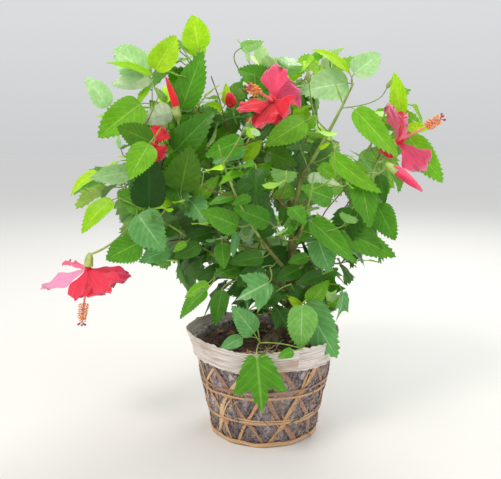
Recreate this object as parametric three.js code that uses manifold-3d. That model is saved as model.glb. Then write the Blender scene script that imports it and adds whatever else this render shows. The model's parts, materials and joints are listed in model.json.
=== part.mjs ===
// Red hibiscus shrub growing in an open bamboo nursery basket.
// Millimetres, +Z up. The origin is the middle of the basket's flat underside,
// +X is the side that the main stem leans to, and -Y is the front.
import * as THREE from 'three';
import { mergeVertices } from 'three/addons/utils/BufferGeometryUtils.js';
import Module from 'manifold-3d';

const wasm = await Module();
wasm.setup();

const { lerp, clamp, degToRad } = THREE.MathUtils;

// Clearance between neighbouring solids
const gap = 0.3;
const up = new THREE.Vector3(0, 0, 1);
const goldenAngle = degToRad(137.5);

// Basket: a lined cone of bamboo strips with a band of palm sheath round its rim
const basket = {
  footRadius: 78,        // radius of the lined root ball at its flat underside
  flare: 0.2,            // how fast that radius grows with height
  rimHeight: 155,
  soilHeight: 136,
  liningHeight: 143,     // the lining stands a little above the soil
  liningWidth: 5,
  liningLip: 1,          // its inner edge is lower than its outer one by this much
  liningSlope: 3,        // and its foot at the soil is wider by this much
  levelRadius: 34,       // level soil round the trunk's foot
  soilDrop: 3,           // the soil falls by this much towards the lining
  headroom: 12,          // no leaf or twig comes nearer to the rim than this
  rounds: 36,
};

const weave = {
  strips: 12,            // strips that lean each way
  stripWidth: 8,
  stripSteps: 5,
  lean: degToRad(30),
  foot: 1,
  top: 148,
  turnRadius: 92,        // radius at which the lean is measured
  innerLayer: [1.05, 1.9],
  outerLayer: [1.65, 2.5],
  hoopLayer: [3.3, 4.3],
  hoops: [
    { name: 'foot', height: 4.2, width: 7 },
    { name: 'lower', height: 39, width: 5 },
    { name: 'middle', height: 84, width: 13 },
  ],
  rounds: 36,
};

const band = {
  foot: 124,
  thickness: 1.8,
  slack: 0.9,            // play between the band and the weave
  waves: 5,              // its edges wave up and down this many times
  waveHeight: 2.5,
  rise: 4,               // its top stands higher on one side
  riseAt: degToRad(195),
  leanOut: 0.006,        // and leans out there, by this share for each millimetre of rise
};

// Trunk: one leaning stem from a flared foot to its fork. It starts below the soil,
// and is cut flat at soil level.
const trunk = {
  points: [[9, 0, 128], [40, 2, 196], [42, -2, 320], [56, 0, 395]],
  buried: 8,
  footRadius: 6.4,
  forkRadius: 3.8,
  flare: 8,              // extra radius at the soil
  flareHeight: 11,       // height over which the flare dies away
  sides: 8,
  steps: 9,
};

const bough = { footRadius: 3.4, sides: 6, steps: 5 };

// Shoots. Each is one arc from the trunk to a tip: `foot` is where it leaves the trunk, as a share
// of the trunk's length, `bow` and `lift` place the arc's middle between foot and tip, across and
// up, and `bough` is the share of the arc that is bare bough before the leaves begin.
const shoots = [
  { name: 'left_top', foot: 0.24, tip: [-94, 15, 560], bow: 1.45, lift: 0.42, bough: 0.4 },
  { name: 'left_upper', foot: 0.33, tip: [-186, -10, 486], bow: 0.9, lift: 0.5, bough: 0.42 },
  { name: 'left_lower', foot: 0.2, tip: [-214, -36, 362], bow: 0.6, lift: 0.75, bough: 0.38 },
  { name: 'centre_top', foot: 0.66, tip: [-14, 46, 545], bow: 1.0, lift: 0.5, bough: 0.3 },
  { name: 'right_top', foot: 0.98, tip: [128, -6, 524], bow: 0.45, lift: 0.35, bough: 0.2 },
  { name: 'right_outer', foot: 0.8, tip: [196, 76, 500], bow: 0.85, lift: 0.35, bough: 0.3 },
  { name: 'right_lower', foot: 0.45, tip: [172, -8, 425], bow: 0.65, lift: 0.35, bough: 0.3 },
  { name: 'front_middle', foot: 0.42, tip: [-62, -122, 436], bow: 0.8, lift: 0.5, bough: 0.36 },
  { name: 'front_right', foot: 0.55, tip: [62, -112, 400], bow: 0.8, lift: 0.5, bough: 0.36 },
  { name: 'low_front', foot: 0.16, tip: [-22, -112, 216], bow: 0.4, lift: 1.1, bough: 0, lobed: true },
  { name: 'low_right', foot: 0.2, tip: [98, -52, 258], bow: 0.5, lift: 0.8, bough: 0.3, lobed: true },
  { name: 'low_left', foot: 0.11, tip: [-72, -42, 258], bow: 0.5, lift: 0.8, bough: 0.3, lobed: true },
  { name: 'back_left', foot: 0.46, tip: [-112, 150, 466], bow: 0.8, lift: 0.5, bough: 0.4 },
  { name: 'back_right', foot: 0.6, tip: [112, 150, 456], bow: 0.8, lift: 0.5, bough: 0.36 },
  { name: 'back_low', foot: 0.28, tip: [28, 132, 286], bow: 0.6, lift: 0.8, bough: 0.35, lobed: true },
  { name: 'back_top', foot: 0.74, tip: [22, 112, 535], bow: 0.9, lift: 0.5, bough: 0.36 },
];

// Flowers, open ones first and then the closed ones. Each springs from the shoot `on`, at the share
// `at` of its arc, towards `side`. `heart` is where the petals part, `face` the way the flower
// looks, `open` the angle between that way and its petals, and `turn` rolls the petals.
const flowers = [
  { name: 'flower_left_hanging', on: 'left_lower', at: 0.84, side: [-0.8, 0, -0.6], reach: 0.62,
    heart: [-262, -30, 250], face: [-0.16, 0.05, -1], open: 72, petal: 76, turn: 12 },
  { name: 'flower_right', on: 'right_lower', at: 0.94, side: [1, 0, 0], reach: 0.4,
    heart: [203, 0, 444], face: [0.87, -0.12, 0.5], open: 84, petal: 66, turn: 80 },
  { name: 'flower_top', on: 'centre_top', at: 0.56, side: [0.6, -0.8, 0], reach: 0.6,
    heart: [8, -38, 500], face: [-0.72, -0.4, 0.56], open: 66, petal: 64, turn: 12 },
  { name: 'flower_left_upper', on: 'left_upper', at: 0.72, side: [0.2, -1, 0], reach: 0.5,
    heart: [-160, -58, 436], face: [-0.6, -0.75, 0.12], open: 70, petal: 58, turn: 0 },
  { name: 'bud_left', on: 'left_top', at: 0.7, side: [-0.8, -0.6, 0], reach: 0.5, bud: true,
    heart: [-130, -16, 490], face: [-0.28, -0.05, 0.95], petal: 44, width: 13 },
  { name: 'bud_centre', on: 'centre_top', at: 0.6, side: [-1, 0.2, 0], reach: 0.5, bud: true,
    heart: [-50, -12, 499], face: [-0.1, -0.8, 0.5], petal: 24, width: 16 },
  { name: 'spent_flower_right', on: 'right_lower', at: 0.87, side: [0.3, -0.6, -0.8], reach: 0.5, bud: true,
    heart: [188, -36, 398], face: [0.78, -0.15, -0.6], petal: 54, width: 14 },
];

// Lengths that end in Share are shares of a petal's length
const bloom = {
  petals: 5,
  stalkRadius: 1.4,
  calyxLength: 17,
  calyxRadius: 7.5,
  tubeLength: 27,        // from the stalk to where the petals part
  tubeRadius: 6,
  throatShare: 0.08,     // the tube ends this far past the petals' feet
  columnShare: 1.08,     // the middle column
  columnRadius: 1.5,
  antherShares: [0.76, 1],
  antherRadius: 5.5,
  petalFoot: 3,          // the petals' feet stand this far out from the middle
  petalWidthShare: 0.82,
  petalThickness: 1.3,
  petalCurl: 0.5,        // radians that a petal bends back by, foot to tip
  petalRoom: 11,         // leaves keep this far from the petals, to either side
  budShares: [-0.11, 0.99],
};

// A petal's outline: share of its length, and half width as a share of its width
const petalOutline = [[-0.03, 0], [0.08, 0.06], [0.45, 0.4], [0.85, 0.46], [1, 0]];
const petalFold = 0.1;

// How every shoot branches
const stem = { footRadius: 2.2, tipRadius: 1, sides: 4, steps: 5 };
const twig = {
  every: 48,             // stem between two side twigs
  length: 78,
  lengthAlong: [1.1, 0.6], // that length is changed by this much, from the stem's foot to its tip
  lengthVary: [0.8, 1.2],
  spread: degToRad(52),
  lift: 0.25,            // the outer part turns up by this share of the length
  footRadius: 1.3,
  tipRadius: 0.8,
  sides: 3,
  steps: 3,
  tries: 8,              // places round the stem that are tried
  tryTurn: 0.8,
};

// How every stem and twig comes into leaf. Leaves low on a stem are full-sized, stand wide and
// hang, and the young ones at its tip are short, close and upright.
const leaf = {
  every: 21,             // stem between two leaves
  length: 88,
  lengthVary: [0.8, 1.1],
  widthShare: 0.8,
  thickness: 1.3,
  fold: 0.12,            // how far the halves fold up, as a share of the half width
  stalkShare: 0.42,      // length of the stalk, as a share of the blade's
  stalkRadius: 1,
  rootDepth: 0.6,        // how far a root sinks in behind the stem's middle
  youngFrom: 0.35,       // share of a stem where its leaves begin to be young
  youngShrink: 0.42,
  spread: [degToRad(78), degToRad(32)],
  spreadVary: [0.85, 1.15],
  hang: [0.95, 0],       // turn between stalk and blade, mature and young
  hangVary: [0.7, 1.2],
  bend: [0.5, 0.2],      // and from there to the tip
  lookOut: 0.2,          // how far the faces look away from the stem
  tries: 14,             // places beside its own that are tried
  tryTurn: 0.45,
  triesToShrink: 5,      // after so many tries the leaf is made smaller
  shrink: 0.85,
  clearance: 4,          // leaves keep this far from limbs and flowers
  boundary: 1.6,         // and from the middle plane between two shoots
  spacing: 15,           // and their blades this far from each other
};
const stalkSpots = [0.1, 0.25, 0.42, 0.6, 0.8];
const bladeSpots = [[0.1, 0], [0.35, -0.75], [0.35, 0], [0.35, 0.75], [0.7, -0.45], [0.7, 0.45], [0.95, 0]];

const vec = (p) => new THREE.Vector3(p[0], p[1], p[2]);

// A repeatable row of numbers from 0 to 1
function draws(seed) {
  let count = 0;
  return () => {
    count += 1;
    const wave = Math.sin(seed * 127.1 + count * 311.7) * 43758.5453;
    return wave - Math.floor(wave);
  };
}

// Solids

function solid(geometry) {
  const bare = geometry.clone();
  bare.deleteAttribute('normal');
  bare.deleteAttribute('uv');
  const merged = mergeVertices(bare, 1e-4);
  return new wasm.Manifold(new wasm.Mesh({
    numProp: 3,
    vertProperties: new Float32Array(merged.attributes.position.array),
    triVerts: new Uint32Array(merged.index.array),
  }));
}

// One closed body: slivers, loose scraps and sealed hollows are dropped
function oneBody(joined) {
  const pieces = joined.simplify(0.1).decompose();
  return pieces.reduce((best, piece) => (piece.volume() > best.volume() ? piece : best));
}

function toGeometry(body) {
  const mesh = body.getMesh();
  const geometry = new THREE.BufferGeometry();
  const positions = new Float32Array(mesh.numVert * 3);
  for (let i = 0; i < mesh.numVert; i += 1) {
    for (let k = 0; k < 3; k += 1) positions[i * 3 + k] = mesh.vertProperties[i * mesh.numProp + k];
  }
  geometry.setAttribute('position', new THREE.BufferAttribute(positions, 3));
  geometry.setIndex([...mesh.triVerts]);
  geometry.computeVertexNormals();
  return geometry;
}

// Moves every vertex of a geometry to where `place(x, y, z)` puts it
function deform(geometry, place) {
  const position = geometry.attributes.position;
  for (let i = 0; i < position.count; i += 1) {
    const p = place(position.getX(i), position.getY(i), position.getZ(i));
    position.setXYZ(i, p.x, p.y, p.z);
  }
  return geometry;
}

// A limb follows a curve. `radius(u)` gives its radius along the way.
function limb(curve, radius, sides, steps) {
  const frames = curve.computeFrenetFrames(steps);
  const geometry = new THREE.CylinderGeometry(1, 1, 1, sides, steps);
  return solid(deform(geometry, (x, y, z) => {
    const u = clamp(y + 0.5, 0, 1);
    const ring = Math.round(u * steps);
    const across = frames.normals[ring].clone().multiplyScalar(x * radius(u));
    const along = frames.binormals[ring].clone().multiplyScalar(-z * radius(u));
    return curve.getPointAt(u).add(across).add(along);
  }));
}

const taper = (from, to) => (u) => lerp(from, to, u);

// The part of an arc between two of its parameters is an arc again
function stretch(arc, from, to) {
  const mix = (s, t) => new THREE.Vector3()
    .addScaledVector(arc.v0, (1 - s) * (1 - t))
    .addScaledVector(arc.v1, (1 - s) * t + s * (1 - t))
    .addScaledVector(arc.v2, s * t);
  return new THREE.QuadraticBezierCurve3(mix(from, from), mix(from, to), mix(to, to));
}

// The direction `face`, squared up to `out`
function upright(face, out) {
  return face.clone().addScaledVector(out, -face.dot(out)).normalize();
}

// The way that lies `angle` from `along`, towards `away`
function between(along, away, angle) {
  return along.clone().multiplyScalar(Math.cos(angle)).addScaledVector(away, Math.sin(angle));
}

// Leaves and petals

// A blade is a three-sided spindle pressed flat, stalk and all. It starts at `base` and runs
// along `out`, facing `face`. Past `stalk` it turns away from its face, at once by `hang` radians
// and then by `bend` more up to the tip. Each row of its outline gives how far along the length
// it lies, its half width, the depth of its keel and how far its edges fold up.
function blade(base, out, face, { stalk, hang, bend }, rows) {
  const side = new THREE.Vector3().crossVectors(face, out);
  const last = rows.length - 1;
  const length = rows[last].along - stalk;
  const keelShare = 2 / 3;
  const edgeShare = Math.sin(Math.PI / 3);
  return deform(new THREE.SphereGeometry(1, 3, last), (x, y, z) => {
    const row = rows[Math.round((1 - Math.acos(clamp(y, -1, 1)) / Math.PI) * last)];
    const past = Math.max(0, row.along - stalk);
    const middleTurn = hang + bend * past / length / 2;
    const turn = past > 0 ? hang + bend * past / length : 0;
    const depth = x * row.keel * keelShare + Math.abs(z) * row.half * row.fold;
    return base.clone()
      .addScaledVector(out, row.along - past + past * Math.cos(middleTurn) + depth * Math.sin(turn))
      .addScaledVector(face, depth * Math.cos(turn) - past * Math.sin(middleTurn))
      .addScaledVector(side, z * row.half / edgeShare);
  });
}

// Rows of a leaf: buried root, stalk, blade and tip. A lobed leaf is widest low down, with
// shoulders above, and the others are widest before the middle.
function leafRows(size) {
  const { length, width, stalk, lobed } = size;
  const stalkRow = (along) => ({ along, half: leaf.stalkRadius, keel: leaf.stalkRadius, fold: 0 });
  const bladeRow = (share, half) => (
    { along: stalk + share * length, half: half * width, keel: leaf.thickness, fold: leaf.fold }
  );
  const point = (along) => ({ along, half: 0, keel: 0, fold: 0 });
  const middle = lobed ? [bladeRow(0.3, 0.6), bladeRow(0.55, 0.3)] : [bladeRow(0.38, 0.5)];
  const foot = [point(-leaf.rootDepth), stalkRow(stem.footRadius), stalkRow(stalk)];
  return [...foot, ...middle, point(stalk + length)];
}

function petalRows(length) {
  return petalOutline.map(([along, half]) => ({
    along: along * length,
    half: half * length * bloom.petalWidthShare,
    keel: bloom.petalThickness,
    fold: petalFold,
  }));
}

// Distances

function distanceTo(point, from, to) {
  const line = new THREE.Line3(from, to);
  return line.closestPointToPoint(point, true, new THREE.Vector3()).distanceTo(point);
}

// A curve as a row of straight stretches
function axisOf(curve, steps) {
  const points = curve.getPoints(steps);
  return points.slice(1).map((to, i) => [points[i], to]);
}

const nearest = (point, axis) => Math.min(...axis.map(([from, to]) => distanceTo(point, from, to)));

// Parts of the model

const palette = {
  coir: { color: 0x5d5048, roughness: 1 },
  bamboo: { color: 0xa97a4a, roughness: 0.7 },
  palmSheath: { color: 0xb5a48e, roughness: 0.95 },
  bark: { color: 0x5a4632, roughness: 0.9 },
  foliage: { color: 0x3f7a1f, roughness: 0.5 },
  petals: { color: 0xe0203a, roughness: 0.6 },
};
const materials = {};
for (const [name, look] of Object.entries(palette)) {
  materials[name] = new THREE.MeshStandardMaterial({ name, metalness: 0, ...look });
}

const shrub = new THREE.Group();
shrub.name = 'hibiscus_shrub';

function add(name, body, material) {
  const mesh = new THREE.Mesh(toGeometry(body), material);
  mesh.name = name;
  shrub.add(mesh);
}

// Basket

const ballRadius = (z) => basket.footRadius + basket.flare * z;

function turned(profile, rounds) {
  const points = profile.map(([r, z]) => new THREE.Vector2(r, z));
  return new THREE.LatheGeometry(points, rounds).rotateX(Math.PI / 2);
}

function rootBall() {
  const liningInside = ballRadius(basket.liningHeight) - basket.liningWidth;
  return solid(turned([
    [0, 0],
    [ballRadius(0), 0],
    [ballRadius(basket.liningHeight), basket.liningHeight],
    [liningInside, basket.liningHeight - basket.liningLip],
    [liningInside - basket.liningSlope, basket.soilHeight - basket.soilDrop],
    [basket.levelRadius, basket.soilHeight],
    [0, basket.soilHeight],
  ], basket.rounds));
}

// A strip winds up the cone, `hand` 1 to the left and -1 to the right
function strip(turn, hand, layer) {
  const length = (weave.top - weave.foot) / Math.cos(weave.lean);
  const shape = new THREE.BoxGeometry(weave.stripWidth, length, layer[1] - layer[0], 1, weave.stripSteps, 1);
  return solid(deform(shape, (x, y, z) => {
    const along = y + length / 2;
    const height = weave.foot + along * Math.cos(weave.lean);
    const arc = hand * along * Math.sin(weave.lean) + x / Math.cos(weave.lean);
    const angle = turn + arc / weave.turnRadius;
    const radius = ballRadius(height) + (layer[0] + layer[1]) / 2 + z;
    return new THREE.Vector3(radius * Math.cos(angle), radius * Math.sin(angle), height);
  }));
}

function bambooWeave() {
  const pieces = [];
  for (let i = 0; i < weave.strips; i += 1) {
    const turn = i * 2 * Math.PI / weave.strips;
    pieces.push(strip(turn, 1, weave.outerLayer), strip(turn, -1, weave.innerLayer));
  }
  return oneBody(wasm.Manifold.union(pieces));
}

function hoop({ height, width }) {
  const [inside, outside] = weave.hoopLayer;
  const low = height - width / 2;
  const high = height + width / 2;
  return solid(turned([
    [ballRadius(low) + inside, low],
    [ballRadius(low) + outside, low],
    [ballRadius(high) + outside, high],
    [ballRadius(high) + inside, high],
    [ballRadius(low) + inside, low],
  ], weave.rounds));
}

function palmSheathBand() {
  const inside = (z) => ballRadius(z) + weave.outerLayer[1] + gap + band.slack;
  const middle = (band.foot + basket.rimHeight) / 2;
  const shape = turned([
    [inside(band.foot), band.foot],
    [inside(band.foot) + band.thickness, band.foot],
    [inside(basket.rimHeight) + band.thickness, basket.rimHeight],
    [inside(basket.rimHeight), basket.rimHeight],
    [inside(band.foot), band.foot],
  ], basket.rounds);
  return solid(deform(shape, (x, y, z) => {
    const angle = Math.atan2(y, x);
    const share = (z - middle) / (basket.rimHeight - middle);
    const rise = band.rise * Math.max(0, Math.cos(angle - band.riseAt)) * Math.max(0, share);
    const wave = band.waveHeight * Math.sin(band.waves * angle + share) * share;
    const out = 1 + rise * band.leanOut;
    return new THREE.Vector3(x * out, y * out, z + wave + rise);
  }));
}

add('root_ball', rootBall(), materials.coir);
add('bamboo_weave', bambooWeave(), materials.bamboo);
weave.hoops.forEach((ring) => add(`bamboo_hoop_${ring.name}`, hoop(ring), materials.bamboo));
add('palm_sheath_band', palmSheathBand(), materials.palmSheath);

// Trunk

const trunkCurve = new THREE.CatmullRomCurve3(trunk.points.map(vec), false, 'centripetal');
const trunkLength = trunkCurve.getLength();
const trunkRadius = (u) => lerp(trunk.footRadius, trunk.forkRadius, u)
  + trunk.flare * Math.exp(-Math.max(0, u * trunkLength - trunk.buried) / trunk.flareHeight);
const trunkWithin = (clear) => limb(trunkCurve, (u) => trunkRadius(u) + clear, trunk.sides, trunk.steps);

function trunkSolid() {
  const width = 2 * basket.footRadius;
  const below = new THREE.BoxGeometry(width, width, basket.soilHeight);
  below.translate(0, 0, gap + basket.soilHeight / 2);
  return oneBody(trunkWithin(0).subtract(solid(below)));
}
const cleared = trunkWithin(gap + 0.1);
add('trunk', trunkSolid(), materials.bark);

// Limbs that leaves keep clear of, each as its axis and radius
const limbs = [{ axis: axisOf(trunkCurve, 12), radius: trunk.footRadius }];

// Shoots: their arcs and their boughs

function shootArc(shoot) {
  const foot = trunkCurve.getPointAt(shoot.foot);
  const tip = vec(shoot.tip);
  const way = tip.clone().sub(foot);
  const middle = new THREE.Vector3(
    foot.x + way.x * shoot.bow,
    foot.y + way.y * shoot.bow,
    foot.z + way.z * shoot.lift,
  );
  return new THREE.QuadraticBezierCurve3(foot, middle, tip);
}

for (const shoot of shoots) {
  shoot.arc = shootArc(shoot);
  let foot = 0;
  if (shoot.bough > 0) {
    const curve = stretch(shoot.arc, 0, shoot.bough);
    const body = limb(curve, taper(bough.footRadius, stem.footRadius), bough.sides, bough.steps);
    add(`bough_${shoot.name}`, oneBody(body.subtract(cleared)), materials.bark);
    limbs.push({ axis: axisOf(curve, 8), radius: bough.footRadius });
    foot = shoot.bough + gap / shoot.arc.getLength();
  }
  shoot.curve = stretch(shoot.arc, foot, 1);
  shoot.axis = axisOf(shoot.curve, 8);
  const room = gap / Math.cos(Math.PI / stem.sides);
  const roomRadius = taper(stem.footRadius + room, stem.tipRadius + room);
  shoot.stemRoom = limb(shoot.curve, roomRadius, stem.sides, stem.steps);
}

// Flowers and buds. Each springs from a shoot, on a stalk of its own that meets the stem.

const shootOf = (flower) => shoots.find((shoot) => shoot.name === flower.on);

function stalkOf(flower) {
  const { arc } = shootOf(flower);
  const side = upright(vec(flower.side), arc.getTangent(flower.at));
  const start = arc.getPoint(flower.at);
  const heart = vec(flower.heart);
  const face = vec(flower.face).normalize();
  const back = heart.clone().addScaledVector(face, -(flower.bud ? bloom.calyxLength : bloom.tubeLength));
  const bend = start.clone().addScaledVector(side, start.distanceTo(back) * flower.reach);
  return { curve: new THREE.QuadraticBezierCurve3(start, bend, back), heart, face, back };
}

function cone(from, to, fromRadius, toRadius, sides) {
  return limb(new THREE.LineCurve3(from, to), taper(fromRadius, toRadius), sides, 1);
}

// Stalk and calyx
function flowerFoot({ curve, face, back }) {
  const calyxStart = back.clone().addScaledVector(face, -2 * bloom.stalkRadius);
  const calyxEnd = back.clone().addScaledVector(face, bloom.calyxLength);
  return [
    limb(curve, taper(bloom.stalkRadius, bloom.stalkRadius * 1.2), 4, 5),
    cone(calyxStart, calyxEnd, bloom.calyxRadius / 2, bloom.calyxRadius, 6),
  ];
}

// A direction across the flower, from which its petals are counted
function acrossFlower(face) {
  return upright(Math.abs(face.z) > 0.9 ? new THREE.Vector3(1, 0, 0) : up, face);
}

function openFlower(flower) {
  const stalk = stalkOf(flower);
  const { heart, face } = stalk;
  const along = (share) => heart.clone().addScaledVector(face, flower.petal * share);
  const first = acrossFlower(face);
  const [anthersFrom, anthersTo] = bloom.antherShares;
  const pieces = [
    ...flowerFoot(stalk),
    cone(stalk.back, along(bloom.throatShare), bloom.tubeRadius / 2, bloom.tubeRadius, 6),
    cone(heart, along(bloom.columnShare), bloom.columnRadius, bloom.columnRadius * 0.7, 4),
    cone(along(anthersFrom), along(anthersTo), bloom.antherRadius, bloom.antherRadius * 0.8, 5),
  ];
  const open = degToRad(flower.open);
  for (let i = 0; i < bloom.petals; i += 1) {
    const away = first.clone().applyAxisAngle(face, degToRad(flower.turn + i * 360 / bloom.petals));
    const out = between(face, away, open);
    const foot = heart.clone().addScaledVector(away, bloom.petalFoot);
    const turn = { stalk: 0, hang: 0, bend: bloom.petalCurl };
    pieces.push(solid(blade(foot, out, upright(face, out), turn, petalRows(flower.petal))));
  }
  return wasm.Manifold.union(pieces);
}

// A closed bloom is a slim spindle
function closedFlower(flower) {
  const stalk = stalkOf(flower);
  const { heart, face } = stalk;
  const first = acrossFlower(face);
  const side = new THREE.Vector3().crossVectors(first, face);
  const spindle = deform(new THREE.SphereGeometry(1, 5, 4), (x, y, z) => heart.clone()
    .addScaledVector(face, flower.petal * lerp(...bloom.budShares, (y + 1) / 2))
    .addScaledVector(first, x * flower.width / 2)
    .addScaledVector(side, z * flower.width / 2));
  return wasm.Manifold.union([...flowerFoot(stalk), solid(spindle)]);
}

for (const flower of flowers) {
  const body = flower.bud ? closedFlower(flower) : openFlower(flower);
  add(flower.name, oneBody(body.subtract(shootOf(flower).stemRoom)), materials.petals);
  const { curve, heart, face, back } = stalkOf(flower);
  const length = flower.petal * (flower.bud ? 1 : bloom.columnShare);
  limbs.push({ axis: axisOf(curve, 5), radius: bloom.stalkRadius });
  limbs.push({ axis: [[back, heart.clone().addScaledVector(face, length)]], radius: bloom.calyxRadius });
}

// Whether a point is among the spread petals, which lie on a wide cone round the heart that
// curls back towards its rim
function amongPetals(point) {
  return flowers.some((flower) => {
    if (flower.bud) return false;
    const face = vec(flower.face).normalize();
    const away = point.clone().sub(vec(flower.heart));
    const ahead = away.dot(face);
    const out = away.addScaledVector(face, -ahead).length();
    const curl = out * out / flower.petal * bloom.petalCurl / 2;
    const petalAhead = out / Math.tan(degToRad(flower.open)) - curl;
    return out < flower.petal + leaf.clearance && Math.abs(ahead - petalAhead) < bloom.petalRoom;
  });
}

// Masses of foliage

// The space of a shoot: nearer to its own stem than to any other, clear of the basket, of the
// limbs and of the flowers
function insideSpace(point, shoot) {
  const overBasket = Math.hypot(point.x, point.y) < ballRadius(basket.rimHeight) + basket.headroom;
  if (overBasket && point.z < basket.rimHeight + basket.headroom) return false;
  const own = nearest(point, shoot.axis);
  if (shoots.some((other) => other !== shoot && nearest(point, other.axis) < own + 2 * leaf.boundary)) {
    return false;
  }
  if (amongPetals(point)) return false;
  return limbs.every(({ axis, radius }) => nearest(point, axis) > radius + leaf.clearance);
}

function leafFits(grown, shoot, blades) {
  if (!grown.spots.every((spot) => insideSpace(spot, shoot))) return false;
  return grown.middles.every((middle) => blades.every((other) => other.distanceTo(middle) > leaf.spacing));
}

function makeLeaf(base, along, away, size) {
  const out = between(along, away, size.spread);
  const face = upright(along.clone().add(up).addScaledVector(away, leaf.lookOut), out);
  const side = new THREE.Vector3().crossVectors(face, out);
  const geometry = blade(base, out, face, size, leafRows(size));
  const middles = bladeSpots.map(([share, across]) => {
    const far = share * size.length;
    const turn = size.hang + size.bend * share / 2;
    return base.clone().addScaledVector(out, size.stalk + far * Math.cos(turn))
      .addScaledVector(face, -far * Math.sin(turn))
      .addScaledVector(side, across * size.width / 2);
  });
  const spots = stalkSpots.map((share) => base.clone().addScaledVector(out, size.stalk * share));
  spots.push(...middles);
  const position = geometry.attributes.position;
  for (let i = 0; i < position.count; i += 1) {
    const corner = new THREE.Vector3().fromBufferAttribute(position, i);
    if (corner.distanceTo(base) > size.stalk * stalkSpots.at(-1)) spots.push(corner);
  }
  return { geometry, spots, middles };
}

// The side of a stem from which its twigs and leaves are counted
const topSide = (along) => upright(new THREE.Vector3(0.3, 0.1, 1), along);

// The main stem of a shoot and its side twigs
function stemsOf(shoot, index, next) {
  const stems = [{ curve: shoot.curve, ...stem }];
  const count = Math.floor(shoot.curve.getLength() / twig.every);
  for (let i = 0; i < count; i += 1) {
    const at = (i + 0.5) / count;
    const base = shoot.curve.getPointAt(at);
    const along = shoot.curve.getTangentAt(at);
    const reach = twig.length * lerp(...twig.lengthAlong, at) * lerp(...twig.lengthVary, next());
    for (let attempt = 0; attempt < twig.tries; attempt += 1) {
      const turn = i * goldenAngle + index + attempt * twig.tryTurn;
      const away = topSide(along).applyAxisAngle(along, turn);
      const out = between(along, away, twig.spread);
      const middle = base.clone().addScaledVector(out, reach / 2);
      const end = base.clone().addScaledVector(out, reach).addScaledVector(up, reach * twig.lift);
      const curve = new THREE.QuadraticBezierCurve3(base, middle, end);
      if (curve.getPoints(10).slice(2).every((point) => insideSpace(point, shoot))) {
        stems.push({ curve, ...twig });
        break;
      }
    }
  }
  return stems;
}

// The leaves of one stem, each at the first place by its own that is free
function leavesOf({ curve }, order, shoot, blades, next) {
  const grown = [];
  const count = Math.floor(curve.getLength() / leaf.every);
  for (let i = 0; i <= count; i += 1) {
    const u = clamp((i + 0.6) / (count + 0.6), 0.03, 0.99);
    const base = curve.getPointAt(u);
    const along = curve.getTangentAt(u);
    const young = Math.max(0, u - leaf.youngFrom) / (1 - leaf.youngFrom);
    const full = leaf.length * (1 - leaf.youngShrink * young) * lerp(...leaf.lengthVary, next());
    const spread = lerp(...leaf.spread, u) * lerp(...leaf.spreadVary, next());
    const hang = lerp(...leaf.hang, young) * lerp(...leaf.hangVary, next());
    const bend = lerp(...leaf.bend, young);
    for (let attempt = 0; attempt < leaf.tries; attempt += 1) {
      const swing = (attempt % 2 ? -1 : 1) * Math.ceil(attempt / 2) * leaf.tryTurn;
      const away = topSide(along).applyAxisAngle(along, i * goldenAngle + order * 2 + swing);
      const length = full * leaf.shrink ** Math.floor(attempt / leaf.triesToShrink);
      const shape = { length, width: length * leaf.widthShare, stalk: length * leaf.stalkShare };
      const size = { ...shape, spread, hang, bend, lobed: shoot.lobed };
      const one = makeLeaf(base, along, away, size);
      if (leafFits(one, shoot, blades)) {
        grown.push(solid(one.geometry));
        blades.push(...one.middles);
        break;
      }
    }
  }
  return grown;
}

function foliage(shoot, index) {
  const next = draws(index + 1);
  const stems = stemsOf(shoot, index, next);
  const solids = stems.map((s) => limb(s.curve, taper(s.footRadius, s.tipRadius), s.sides, s.steps));
  const blades = [];
  stems.forEach((one, order) => solids.push(...leavesOf(one, order, shoot, blades, next)));
  return oneBody(wasm.Manifold.union(solids).subtract(cleared));
}

shoots.forEach((shoot, index) => add(`foliage_${shoot.name}`, foliage(shoot, index), materials.foliage));

export default shrub;
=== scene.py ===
# Red hibiscus shrub in its open bamboo nursery basket.
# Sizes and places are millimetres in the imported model's frame, and meshes are made in metres.
import json
import math
import bpy
import bmesh
import numpy as np
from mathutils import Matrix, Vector, noise

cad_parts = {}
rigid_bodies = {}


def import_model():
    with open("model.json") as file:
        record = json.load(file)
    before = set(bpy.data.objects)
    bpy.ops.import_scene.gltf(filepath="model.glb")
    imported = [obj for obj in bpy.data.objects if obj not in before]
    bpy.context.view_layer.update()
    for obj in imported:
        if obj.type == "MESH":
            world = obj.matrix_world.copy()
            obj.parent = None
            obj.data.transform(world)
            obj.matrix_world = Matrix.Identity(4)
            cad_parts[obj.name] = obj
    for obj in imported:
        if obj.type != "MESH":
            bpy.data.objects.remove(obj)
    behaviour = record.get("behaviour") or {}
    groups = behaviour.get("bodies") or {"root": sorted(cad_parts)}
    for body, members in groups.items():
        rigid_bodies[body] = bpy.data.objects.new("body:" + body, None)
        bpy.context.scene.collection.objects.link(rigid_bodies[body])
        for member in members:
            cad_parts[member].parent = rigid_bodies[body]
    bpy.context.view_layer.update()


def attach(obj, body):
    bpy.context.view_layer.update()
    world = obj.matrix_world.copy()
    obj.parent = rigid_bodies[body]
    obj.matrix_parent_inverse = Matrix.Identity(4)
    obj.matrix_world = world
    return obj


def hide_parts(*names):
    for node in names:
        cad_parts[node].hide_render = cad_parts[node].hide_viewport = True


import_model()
print("frame loaded")

mm = 0.001
upward = np.array([0.0, 0.0, 1.0])
goldenAngle = math.radians(137.5)

# Camera, as the picture was taken: a little above the crown's middle, looking slightly down
view = {
    "place": (-21, -900, 432),
    "pitch": 81.3,             # degrees, and 90 would be level
    "lens": 43.1,
    "sensor": 36,
    "pixels": 600,             # the lens in pixels of a picture 501 wide
    "middle": (250.5, 239.5),
}


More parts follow.
